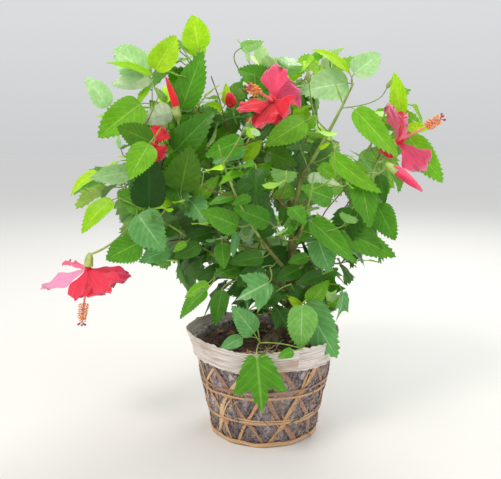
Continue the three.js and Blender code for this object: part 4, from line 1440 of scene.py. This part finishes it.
def leafOutline(teeth, depth, seed):
    # Egg-shaped, broadest in its lower third, coarsely and unevenly toothed
    def outline(x, t):
        half = (t + 0.01) ** 0.45 * (1 - t) ** 0.9 / 0.4415 * 0.5
        half = half * (1 + 0.07 * np.sign(x) * np.sin(5 * t + seed)) + 0.004
        rim = np.abs(x) > 0.99
        tip = np.cos(math.pi * np.round(t * teeth * 2))
        strong = np.clip((t - 0.08) / 0.2, 0, 1) * np.clip((0.99 - t) / 0.1, 0, 1)
        strong = strong * (1 + 0.35 * np.sin(11 * t + 3 * np.sign(x) + seed))
        side = x * (half + np.where(rim, depth * tip * strong, 0))
        far = t + np.where(rim, 0.22 / teeth * tip * strong, 0)
        vein = np.abs(((t - 0.5 * np.abs(x)) * 6.5 + seed) % 1 - 0.5)
        relief = 0.035 * (vein - 0.25) * np.clip(np.abs(x) * 3, 0, 1) * (1 - np.abs(x) ** 4)
        return side, far, relief
    return outline


lobes = {"angles": [0, 0.1, 0.22, 0.34, 0.46, 0.62, 0.76, 0.88, 1.05, 1.3, 1.7, 2.3],
         "reach": [1.0, 0.86, 0.7, 0.57, 0.63, 0.77, 0.86, 0.68, 0.5, 0.36, 0.24, 0.12]}


def lobedOutline(teeth, depth, seed):
    # Three broad pointed lobes round the stalk with coarse teeth, as on shoots near the foot
    def outline(x, t):
        angle = x * lobes["angles"][-1]
        size = np.interp(np.abs(angle), lobes["angles"], lobes["reach"])
        size = size * (1 + 0.05 * np.sin(3 * angle + seed))
        tip = np.cos(math.pi * np.round((x + 1) * teeth))
        tooth = np.where(t > 0.99, depth * tip * (1 + 0.4 * np.sin(9 * x + seed)), 0)
        far = t * (size + tooth)
        return far * np.sin(angle), far * np.cos(angle), 0.03 * np.cos(angle * 11) * t * (1 - 0.6 * t)
    return outline


plainLeaves = [sheetShape(2, 16, leafOutline(8, 0.04, seed)) for seed in (0.3, 1.7)]
plainLobed = [sheetShape(24, 2, lobedOutline(12, 0.035, seed), True) for seed in (0.2, 2.0)]
fineLeaves = [sheetShape(8, 26, leafOutline(13, 0.023, seed)) for seed in (0.3, 1.7)]
fineLobed = [sheetShape(48, 6, lobedOutline(24, 0.03, seed), True) for seed in (0.2, 2.0)]
# Each tone's upper face, veins, under face, roughness and share of light let through
# The tones are partly the leaves' own colours and partly painted light: young and lime are young leaves with
# painted backlight, shade and dark are painted shade, and bluish and mint are painted sky sheen
leafTones = {
    "young": ("#a0d80a", "#cdf058", "#c0e86a", 0.42, 0.3),
    "lime": ("#8cc80c", "#b8e444", "#aedc66", 0.42, 0.3),
    "fresh": ("#6eb018", "#a2d658", "#a4d07c", 0.36, 0.25),
    "mid": ("#4c8c14", "#80b848", "#8cbb6c", 0.34, 0.2),
    "olive": ("#457408", "#6e9a2a", "#84ac58", 0.36, 0.16),
    "deep": ("#3a7010", "#649c38", "#76a05c", 0.32, 0.14),
    # painted shade on leaves inside the crown
    "shade": ("#305e12", "#4e842e", "#5e8a46", 0.36, 0.12),
    # painted shade on a leaf that lies in deep shadow
    "dark": ("#1c4608", "#2e5e14", "#4f7f44", 0.5, 0.05),
    # painted sky sheen on darker leaves
    "bluish": ("#5c9a50", "#9ccc8c", "#a4c894", 0.26, 0.2),
    "soft": ("#74b44e", "#a8d890", "#b0d49c", 0.32, 0.25),
    # painted sky sheen on the upper face; the under face is the leaf's real paler underside
    "mint": ("#a4d490", "#d4f2c4", "#cdeabc", 0.34, 0.3),
}

# The stems of every shoot come first, and then leaves that the picture shows plainly
for index, shoot in enumerate(shoots):
    shoot["draws"] = draws(index + 1)
    shoot["stems"] = stemsOf(shoot, index)
    shoot["sprays"] = spraysOf(shoot, index)

# Twigs that the picture shows plainly: the shoot that carries each, the share of that shoot's leafy
# part at which it starts, and the pixels and depths that it passes
shownTwigs = [
    {"on": "left_top", "at": 0.28, "through": [(178, 122, 2), (160, 90, -6)], "thick": 1.5},
    {"on": "left_upper", "at": 0.55, "through": [(162, 128, -48), (155, 137, -86)], "thick": 1.0},
    {"on": "centre_top", "at": 0.1, "through": [(231, 135, 12), (219, 98, 4), (211, 76, 2)], "thick": 1.4,
     "red": True},
    {"on": "right_top", "at": 0.7, "through": [(366, 104, -10), (381, 97, -12), (387, 88, -12)], "thick": 0.9,
     "bud": 14},
    {"on": "right_top", "at": 0.4, "through": [(316, 118, -4), (311, 98, -9), (309, 82, -12)], "thick": 0.9,
     "bud": 17},
    {"on": "right_lower", "at": 0.25, "through": [(337, 220, -12), (352, 198, -20)], "thick": 1.2,
     "red": True},
    {"on": "right_lower", "at": 0.1, "through": [(322, 219, -14), (340, 194, -18), (352, 181, -20)],
     "thick": 1.2, "red": True},
]
for one in shownTwigs:
    shoot = next(s for s in shoots if s["name"] == one["on"])
    points = [along(shoot["curve"], one["at"])] + [place(*spot) for spot in one["through"]]
    one["made"] = {"curve": throughPoints(points, 12), "radii": (one["thick"], twig["radii"][1]),
                   "main": False, "red": one.get("red", False), "bare": True}
    shoot["stems"].append(one["made"])

# Leaves that the picture shows plainly: the pixels of the blade's foot and of its tip, its width there
# in pixels, the foot's depth, how far the tip lies behind it, and its tone. roll turns the blade on its
# length, and lengthens its true width to match.
shownLeaves = [
    ((199, 49), (192, 15), 29, 14, -6, "young"),
    ((155.5, 70), (176, 36), 27, -6, 6, "young", {"fold": 0.35}),
    ((147, 73), (114, 50), 34, -6, 12, "mint"),
    ((151, 75), (106, 63), 9, -12, -8, "lime", {"roll": 45}),
    ((150, 78), (111, 85), 20, -10, 4, "mint", {"under": True}),
    ((182, 108), (203, 51), 30, 6, -8, "mid"),
    ((172, 112), (141, 121), 22, -8, -4, "mint", {"under": True}),
    ((107, 107), (86, 78), 22, -12, 4, "mint", {"roll": 20}),
    ((140.5, 104), (99, 137), 34, -14, -14, "fresh", {"fold": 0.3}),
    ((165, 120), (150, 100), 16, 4, 4, "fresh"),
    ((152, 142), (117, 127), 27, -84, -6, "olive"),
    ((149, 144), (129, 179), 28, -100, -8, "fresh", {"fold": 0.25}),
    ((149, 207), (149.6, 153), 35, -58, -44, "dark"),
    ((130, 171), (90, 178), 20, -36, -12, "mint", {"roll": -20}),
    ((97, 172), (71, 196), 12, -38, 4, "young", {"roll": 40}),
    ((112, 200), (82, 233), 20, -38, -8, "lime", {"roll": 30}),
    ((146, 209), (117, 192), 22, -28, 4, "mid"),
    ((138, 215), (164, 251), 38, -46, -18, "bluish"),
    ((140, 242), (106, 260), 30, -36, -10, "mid"),
    ((170, 249), (139, 262), 18, -30, -8, "bluish"),
    ((172, 200), (153, 209), 10, -36, -8, "lime"),
    ((175, 151), (214, 112), 31, -34, -14, "deep"),
    ((181, 190), (190, 146), 38, -46, -20, "olive"),
    ((186, 172), (206, 126), 22, -16, -6, "olive"),
    ((242, 140), (205, 157), 22, -92, -10, "mid"),
    ((244, 150), (212, 163), 14, -80, -4, "bluish"),
    ((196, 203), (219, 175), 15, -12, -8, "fresh"),
    ((251, 181), (232, 194), 15, -90, -6, "shade"),
    ((256, 168), (256, 206), 17, -84, -10, "shade"),
    ((250, 197), (232, 205), 11, -96, -6, "mid"),
    ((238, 226), (200, 211), 25, -76, -14, "mid"),
    ((269, 222), (233, 208), 23, -74, -14, "mid"),
    ((305, 121), (265, 146), 27, -14, -16, "fresh"),
    ((264, 151), (297, 165), 24, 16, -10, "olive"),
    ((272, 82), (238, 70), 25, 52, 4, "mid"),
    ((290, 81), (303, 59), 8, 62, 4, "young", {"roll": 40}),
    ((241, 48), (264, 41), 12, 50, -6, "mint", {"roll": 25}),
    ((225, 104), (226, 83), 9, 6, 4, "young", {"roll": 30}),
    ((222, 109), (204, 105), 11, 4, 4, "lime"),
    ((348, 83), (300, 92), 33, 10, 8, "mint"),
    ((349, 72), (313, 50), 9, -6, 6, "young", {"roll": 50}),
    ((354, 74), (380, 54), 26, -8, 8, "mint", {"fold": 0.3}),
    ((401, 114.6), (394, 72), 18, 48, -4, "young"),
    ((355, 110), (398, 157), 25, -22, -16, "fresh", {"fold": 0.3}),
    ((407, 128), (430, 128), 11, 30, 0, "young"),
    ((409, 138), (442, 182), 26, 26, -6, "fresh"),
    ((331, 155), (381, 192), 18, -26, -14, "fresh", {"roll": 25}),
    ((319, 149), (330, 143), 5, -6, -4, "young"),
    ((319, 166), (338, 179), 15, -8, -6, "fresh"),
    ((308, 177), (340, 185), 14, -12, -8, "mint", {"under": True}),
    ((332, 199), (300, 187), 23, -50, -12, "mid"),
    ((361, 178), (370, 228), 27, -18, -18, "mid"),
    ((379, 175), (385, 203), 14, 2, -6, "deep"),
    ((377, 205), (395, 240), 25, -6, -8, "mid"),
    ((311, 221), (356, 263), 23, -72, -14, "mid", {"fold": 0.35}),
    ((343, 231), (396, 257), 26, -20, -14, "mid", {"fold": 0.25}),
    ((318, 240), (330, 272), 30, -60, -14, "bluish"),
    ((254, 333), (232, 306), 24, -92, -6, "bluish"),
    ((268, 283), (237, 300), 36, -80, -10, "bluish", {"lobed": True}),
    ((277, 291), (261, 309), 19, -58, -8, "shade"),
    ((302, 305), (301, 350), 31, -72, -10, "soft", {"fold": 0.05}),
    ((305, 304), (337, 358), 37, -56, -16, "bluish", {"fold": 0.1}),
    ((309, 305), (329, 280), 19, -48, 4, "fresh"),
    ((257, 359), (262, 410), 47, -124, 3, "mid", {"lobed": True, "fold": 0.12}),
    ((293, 351), (278, 358), 11, -116, -8, "mid"),
    ((222, 290), (215, 326), 18, -56, -10, "deep"),
    ((206, 290), (180, 319), 17, -52, -6, "mid", {"roll": 30}),
    ((242, 338), (220, 349), 14, -90, -6, "bluish"),
    ((200, 244), (174, 259), 17, -32, -8, "deep"),
    ((222, 243), (224, 269), 18, -50, -8, "mid"),
    ((236, 232), (233, 257), 9, -60, -6, "bluish"),
    ((263, 257), (228, 263), 17, -46, -10, "deep"),
    ((236, 195), (209, 205), 12, -66, -4, "mid", {"roll": 20}),
    ((186, 242), (173, 252), 8, -44, -4, "fresh"),
    ((294, 188), (272, 198), 15, 8, -6, "fresh"),
    ((285, 204), (282, 227), 11, -14, -6, "deep"),
    ((313, 224), (296, 243), 13, -34, -6, "mid", {"fold": 0.4}),
    ((273, 228), (251, 240), 14, -50, -6, "shade"),
    ((308, 256), (288, 263), 12, -36, -6, "mid"),
    ((287, 250), (258, 270), 22, 12, -10, "shade"),
    ((252, 262), (213, 276), 23, -40, -12, "deep"),
    ((263, 267), (236, 286), 19, -52, -10, "shade"),
    ((208, 283), (185, 298), 13, -44, -6, "fresh"),
    ((304, 300), (286, 284), 15, -36, 6, "shade"),
    ((301, 307), (287, 296), 9, -44, 0, "young"),
    ((324, 274), (296, 284), 15, -40, -8, "shade"),
    ((212, 232), (184, 240), 16, -20, -8, "shade"),
    ((252, 284), (226, 294), 18, -20, -8, "shade"),
    ((300, 268), (276, 281), 18, -24, -8, "deep"),
    ((318, 284), (338, 268), 15, -30, 4, "deep"),
    ((222, 268), (198, 279), 16, -24, -8, "shade"),
    ((180, 226), (163, 238), 13, -14, -6, "deep"),
    ((215, 142), (241, 124), 17, 24, -6, "olive"),
    ((297, 131), (318, 116), 15, 12, 0, "fresh"),
    ((243, 160), (262, 140), 16, 10, -4, "lime"),
]
shownRules = {
    "longStalk": 46,           # a leaf farther than this from its stem gets a twig of its own
    "twigEnd": 18,             # which ends so far from the blade
    "twigBow": 0.12,
    "twigRadii": (1.3, 0.9),
    "fold": 0.18,
    "cover": 0.37,             # share of a blade's width that it hides round its middle
    "ahead": 12,               # a stem less far behind the blade's foot than this costs more
    "hug": 0.8,                # by this much for each millimetre
}
twigBud = {"ends": (0.8, 0.4), "swell": [0.2, 0.24, 0.2, 0.12]}


# The crown's outline in the picture, its open gaps and its blooms, which the other leaves keep off
crownOutline = np.array([
    (176, 270), (150, 268), (104, 262), (80, 236), (68, 198), (80, 166), (94, 142), (80, 112),
    (84, 76), (103, 54), (118, 42), (150, 37), (176, 33), (183, 12), (210, 12), (218, 44),
    (234, 38), (264, 34), (272, 58), (302, 56), (312, 47), (350, 42), (380, 50), (386, 66),
    (400, 74), (410, 100), (432, 122), (446, 184), (424, 188), (404, 202), (402, 262), (352, 270),
    (342, 356), (300, 352), (255, 356), (200, 345), (176, 322)], float)
openGaps = [
    (207, 44, 238, 82), (320, 98, 342, 128), (346, 76, 390, 104), (340, 116, 366, 150),
    (104, 87, 138, 101), (86, 140, 116, 163), (338, 160, 354, 174), (322, 196, 345, 214),
    (404, 186, 450, 270), (60, 236, 104, 330)]
# Nothing stands in front of a bloom, whose box has the bloom's depth as its last number
bloomBoxes = [
    (40, 240, 134, 330, -20), (370, 100, 448, 172, 10), (246, 62, 300, 128, -30), (128, 128, 169, 161, -60),
    (158, 73, 182, 120, -10), (224, 86, 243, 116, -8), (376, 160, 420, 192, -30), (298, 138, 326, 206, -6)]


def openFrom(curve):
    # The share of a twig at which it would show in an open gap
    spots = seen(along(curve, np.linspace(0, 1, 21)))
    found = np.any([inBox(spots, gap) for gap in openGaps], axis=0)
    return found.argmax() / 20 if found.any() else 1.0


carriers = {"points": [], "stem": [], "share": []}


def addCarrier(curve, shares, stem=None):
    carriers["points"].extend(along(curve, shares))
    carriers["stem"].extend([stem] * len(shares))
    carriers["share"].extend(shares)


def carrierFor(base, out):
    # The nearest place on a stem, which is kept at least that long
    away = base - np.array(carriers["points"])
    cost = np.linalg.norm(away, axis=1) + shownRules["hug"] * np.maximum(0, shownRules["ahead"] - away @ out)
    best = int(np.argmin(cost))
    if carriers["stem"][best] is not None:
        keepStem(carriers["stem"][best], carriers["share"][best])
    return carriers["points"][best]


def keepStem(stem, share):
    stem["used"] = max(stem.get("used", 0), share)


addCarrier(trunkCurve, np.linspace(0.05, 1, 60))
for shoot in shoots:
    if shoot["boughCurve"]:
        addCarrier(shoot["boughCurve"], np.linspace(0, 1, 30))
    for one in shoot["stems"] + shoot["sprays"]:
        one["open"] = 1.0 if one["main"] or one.get("bare") else openFrom(one["curve"])
        addCarrier(one["curve"], np.linspace(0, min(0.97, one["open"]), 40), one)

leaves = []
extraStems = []
for number, (foot, tip, width, depth, lean, tone, *more) in enumerate(shownLeaves):
    spec = {"roll": 0, "under": False, "lobed": False, "fold": shownRules["fold"]}
    spec.update(*more)
    base, end = place(*foot, depth), place(*tip, depth + lean)
    eye = unit(np.array(view["place"], float) - base) * (-1 if spec["under"] else 1)
    bend = 0.45 if spec["lobed"] else 0.55 + 0.2 * math.sin(number)
    size = width / view["pixels"] * seen(base)[2] / math.cos(math.radians(spec["roll"]))
    one = bladeBetween(base, end, eye + upward * 0.15, size, bend, spec["roll"])
    root = carrierFor(base, one["out"])
    far = np.linalg.norm(base - root)
    if far > shownRules["longStalk"]:
        end = base - one["out"] * shownRules["twigEnd"] - upward * 3
        curve = bezier(root, (root + end) / 2 + upward * shownRules["twigBow"] * far, end, 16)
        extraStems.append({"curve": curve, "radii": shownRules["twigRadii"]})
        addCarrier(curve, np.linspace(0.2, 1, 14))
        root = end
    one.update({"root": root, "young": 0.5, "lobed": spec["lobed"], "fold": spec["fold"], "wave": 0.04,
                "waves": 1.6, "phase": number * 1.1, "twist": 0.3 * math.sin(number * 2.3),
                "thickness": leaf["thickness"], "tone": tone, "shown": True})
    leaves.append(one)
    keepMiddles(leafSpots(one)[1])
print("plainly seen leaves:", len(leaves))


def insideOutline(points):
    x, y = points[:, 0:1], points[:, 1:2]
    x1, y1 = crownOutline.T
    x2, y2 = np.roll(crownOutline, -1, axis=0).T
    crosses = ((y1 > y) != (y2 > y)) & (x < (x2 - x1) * (y - y1) / (y2 - y1 + 1e-9) + x1)
    return crosses.sum(axis=1) % 2 == 1


shownSpots = []
for one in leaves:
    spots = seen(leafSpots(one)[1])
    reach = one["width"] / spots[0, 2] * view["pixels"] * shownRules["cover"]
    for spot, share in zip(spots[[0, 2, 6, 1, 3, 4, 5]], (1, 1, 1, 0.6, 0.6, 0.6, 0.6)):
        shownSpots.append((*spot, reach * share))
shownSpots = np.array(shownSpots)


def clearView(spots):
    points = seen(spots)
    if not np.all(insideOutline(points)):
        return False
    if any(inBox(points, gap).any() for gap in openGaps):
        return False
    if any((inBox(points, box) & (spots[:, 1] < depth)).any() for *box, depth in bloomBoxes):
        return False
    apart = np.linalg.norm(points[:, None, :2] - shownSpots[None, :, :2], axis=-1)
    return not np.any((apart < shownSpots[:, 3]) & (points[:, 2:3] < shownSpots[:, 2] + 4))


for index, shoot in enumerate(shoots):
    for order, one in enumerate(shoot["stems"] + shoot["sprays"]):
        if one.get("bare"):
            continue
        curve = one["curve"]
        count = int(curve["at"][-1] // leaf["every"])
        for i in range(count + 1):
            u = min(max((i + 0.6) / (count + 0.6), 0.03), 0.99)
            if u > one["open"]:
                break
            root, way = along(curve, u), heading(curve, u)
            young = max(0, u - leaf["youngFrom"]) / (1 - leaf["youngFrom"])
            full = leaf["length"] * (1 - leaf["youngShrink"] * young)
            full *= mix(*leaf["lengthVary"], next(shoot["draws"]))
            full *= leaf["lateScale"] if one.get("late") else 1
            spread = mix(*leaf["spread"], u) * mix(*leaf["spreadVary"], next(shoot["draws"]))
            hang = mix(*leaf["hang"], young) * mix(*leaf["hangVary"], next(shoot["draws"]))
            for attempt in range(shoot.get("tries", leaf["tries"])):
                swing = (-1 if attempt % 2 else 1) * math.ceil(attempt / 2) * leaf["tryTurn"]
                away = turned(topSide(way), way, i * goldenAngle + order * 2 + swing)
                length = full * leaf["shrink"] ** (attempt // leaf["triesToShrink"])
                out = way * math.cos(spread) + away * math.sin(spread)
                face = upright(way + upward + away * leaf["lookOut"], out)
                grown = {"root": root, "base": root + out * length * leaf["stalkShare"], "out": out,
                         "face": face, "length": length, "width": length * leaf["widthShare"],
                         "hang": hang, "bend": mix(*leaf["bend"], young), "young": young,
                         "lobed": bool(shoot.get("lobed"))}
                spots, middles = leafSpots(grown)
                gaps = np.linalg.norm(kept["middles"][:kept["count"], None] - middles, axis=-1)
                if gaps.min() > leaf["spacing"] and clearView(spots) and insideSpace(spots, index):
                    leaves.append(grown)
                    keepMiddles(middles)
                    keepStem(one, u)
                    break
print("leaves in all:", len(leaves))

leafMaterials = {tone: leafMaterial("hibiscus leaf, " + tone, *look) for tone, look in leafTones.items()}
stemTube = tubeShape(8, 40)
twigTube = tubeShape(6, 16)
leafStalkTube = tubeShape(5, 10)
stemCopies = []
for shoot in shoots:
    for one in shoot["sprays"]:
        if "used" in one and one["parent"]:
            keepStem(one["parent"], one["parentShare"])
for index, shoot in enumerate(shoots):
    for number, one in enumerate(shoot["stems"] + shoot["sprays"]):
        tube = stemTube if one["main"] else twigTube
        red = one.get("red", not (one["main"] or shoot.get("thick")) and (index + number) % 3 == 0)
        if not (one["main"] or one.get("bare") or "used" in one):
            continue
        shown = 1
        if not (one["main"] or one.get("bare")):
            shown = min(1, max(stem["shortest"], one["used"] + stem["beyond"]))
        cut = track(along(one["curve"], np.linspace(0, shown, 40)))
        stemCopies.append((tube, tubePoints(tube, cut, one["radii"]), int(red)))
for one in shownTwigs:
    if "bud" in one:
        # A closed bud in its green calyx
        twigCurve = one["made"]["curve"]
        way, size = heading(twigCurve, 1), one["bud"]
        start = along(twigCurve, 1) - way
        budCurve = bezier(start, start + way * size / 2, start + way * size + upward * 2, 12)
        first, last = twigBud["ends"]
        radii = [first, *(share * size for share in twigBud["swell"]), last]
        stemCopies.append((stemTube, tubePoints(stemTube, budCurve, radii), 0))
for one in extraStems:
    stemCopies.append((twigTube, tubePoints(twigTube, one["curve"], one["radii"]), 0))
# Living stems: smooth and green, some of them reddish with age
stemGreen = plainMaterial("hibiscus stem, smooth green", "#6a8a2c", "#a8c060", 0.5, 120.0, (1, 1, 0.3),
                          bumpMm=0.2)
stemRed = plainMaterial("hibiscus stem, reddish brown", "#5a3626", "#8f6a44", 0.6, 120.0, (1, 1, 0.3),
                        bumpMm=0.2)
joined("stems_and_twigs", stemCopies, [stemGreen, stemRed])

# How light a leaf is: painted light makes it lighter with its height and its distance from the middle, where
# the crown is lit, and painted shade makes it darker inside; it also grows with the leaf's youth and by
# chance
toneRule = {
    "tones": ["shade", "deep", "mid", "fresh", "lime", "young"],
    "from": 180,
    "height": (400, 0.55),
    "outward": (250, 0.3),
    "youth": 0.35,
    "chance": 0.28,
    "steps": 5.4,
    "bluish": 0.22,            # share of the darker leaves that get the bluish painted sheen
    "mint": (430, 0.25),       # and of the light ones above this height that get the mint painted sheen
}
rng = np.random.default_rng(5)
leafCopies = {tone: [] for tone in leafTones}
stalkCopies = []
for number, one in enumerate(leaves):
    if "tone" not in one:
        (span, highWeight), (reach, outWeight) = toneRule["height"], toneRule["outward"]
        high = (one["base"][2] - toneRule["from"]) / span
        out = np.linalg.norm(one["base"][:2]) / reach
        # The height and outward terms are painted light and shade, the youth term the leaf's own colour
        score = highWeight * high + outWeight * out + toneRule["youth"] * one["young"]
        score += toneRule["chance"] * rng.uniform(-1, 1)
        one["tone"] = toneRule["tones"][int(np.clip(score * toneRule["steps"], 0, 5))]
        if one["tone"] in ("shade", "deep", "mid") and rng.uniform() < toneRule["bluish"]:
            one["tone"] = "bluish"
        mintFrom, mintShare = toneRule["mint"]
        if one["tone"] in ("fresh", "lime") and one["base"][2] > mintFrom and rng.uniform() < mintShare:
            one["tone"] = "mint"
        one.update({"fold": rng.uniform(0.08, 0.3), "wave": rng.uniform(0.02, 0.07),
                    "waves": rng.uniform(1, 2.2), "phase": rng.uniform(0, 6), "twist": rng.uniform(-0.4, 0.4),
                    "thickness": leaf["thickness"]})
    fine, plain = (fineLobed, plainLobed) if one["lobed"] else (fineLeaves, plainLeaves)
    shape = (fine if one.get("shown") else plain)[number % 2]
    leafCopies[one["tone"]].append((shape, bladePoints(shape, one), 0))
    reach = np.linalg.norm(one["base"] - one["root"])
    middle = one["base"] - one["out"] * reach * 0.5 - upward * 0.05 * reach
    stalkCurve = bezier(one["root"], middle, one["base"] + one["out"] * 1.5, 12)
    stalkCopies.append((leafStalkTube, tubePoints(leafStalkTube, stalkCurve, leaf["stalkRadii"]), 0))
for number, (tone, copies) in enumerate(leafCopies.items()):
    replaced = ["foliage_" + s["name"] for s in shoots] if number == 0 else ()
    joined("leaves_" + tone, copies, [leafMaterials[tone]], replaced)
joined("leaf_stalks", stalkCopies, [stemGreen])
print("leaves made")

# Floor, light and camera

studio = {
    "floor": 40,
    "floorColour": "#dddcda",
    "sky": "#f3f5f6",
    "skyStrength": (0.68, 0.95),   # at the horizon, where the floor runs into it, and higher up
    "skyHigh": 0.5,
    "lights": [
        {"name": "key light", "spot": (-1.2, -1.3, 2.5), "aim": (0, 0, 0.3), "size": 1.0, "watts": 34,
         "colour": "#fff6e8"},
        {"name": "fill light", "spot": (1.9, -1.4, 1.2), "aim": (0, 0, 0.3), "size": 1.6, "watts": 8,
         "colour": "#f0f6ff"},
        {"name": "back light", "spot": (0.6, 1.5, 2.3), "aim": (0, 0, 0.4), "size": 1.2, "watts": 30,
         "colour": "#fffdf4"},
    ],
}


def floor():
    bm = bmesh.new()
    bmesh.ops.create_grid(bm, x_segments=1, y_segments=1, size=studio["floor"])
    mesh = bpy.data.meshes.new("floor")
    bm.to_mesh(mesh)
    bm.free()
    # Even matt paint, so that the plant's shadow lies soft on it
    look = {"Roughness": 0.9, "Base Color": linear(studio["floorColour"])}
    mesh.materials.append(newMaterial("painted floor, matt", look)[0])
    piece = bpy.data.objects.new("floor", mesh)
    bpy.context.scene.collection.objects.link(piece)


def areaLight(name, spot, aim, size, watts, colour):
    data = bpy.data.lights.new(name, "AREA")
    data.shape = "DISK"
    data.size = size
    data.energy = watts
    data.color = linear(colour)[:3]
    lamp = bpy.data.objects.new(name, data)
    lamp.location = spot
    lamp.rotation_euler = (Vector(aim) - Vector(spot)).to_track_quat("-Z", "Y").to_euler()
    bpy.context.scene.collection.objects.link(lamp)


def skyWorld():
    world = bpy.data.worlds.new("studio")
    world.use_nodes = True
    tree = world.node_tree
    sky = tree.nodes["Background"]
    sky.inputs["Color"].default_value = linear(studio["sky"])
    source = addNode(tree, "TexCoord")
    height = addNode(tree, "SeparateXYZ", links={"Vector": source.outputs["Generated"]})
    low, high = studio["skyStrength"]
    strength = addNode(tree, "MapRange", {"range": (0.0, studio["skyHigh"], low, high)},
                       {"Value": height.outputs["Z"]})
    tree.links.new(strength.outputs["Result"], sky.inputs["Strength"])
    bpy.context.scene.world = world


floor()
for light in studio["lights"]:
    areaLight(**light)
skyWorld()

cameraData = bpy.data.cameras.new("camera")
cameraData.lens = view["lens"]
cameraData.sensor_width = view["sensor"]
camera = bpy.data.objects.new("camera", cameraData)
camera.location = [v * mm for v in view["place"]]
camera.rotation_euler = (math.radians(view["pitch"]), 0, 0)
bpy.context.scene.collection.objects.link(camera)
bpy.context.scene.camera = camera
bpy.context.scene.view_settings.view_transform = "Standard"
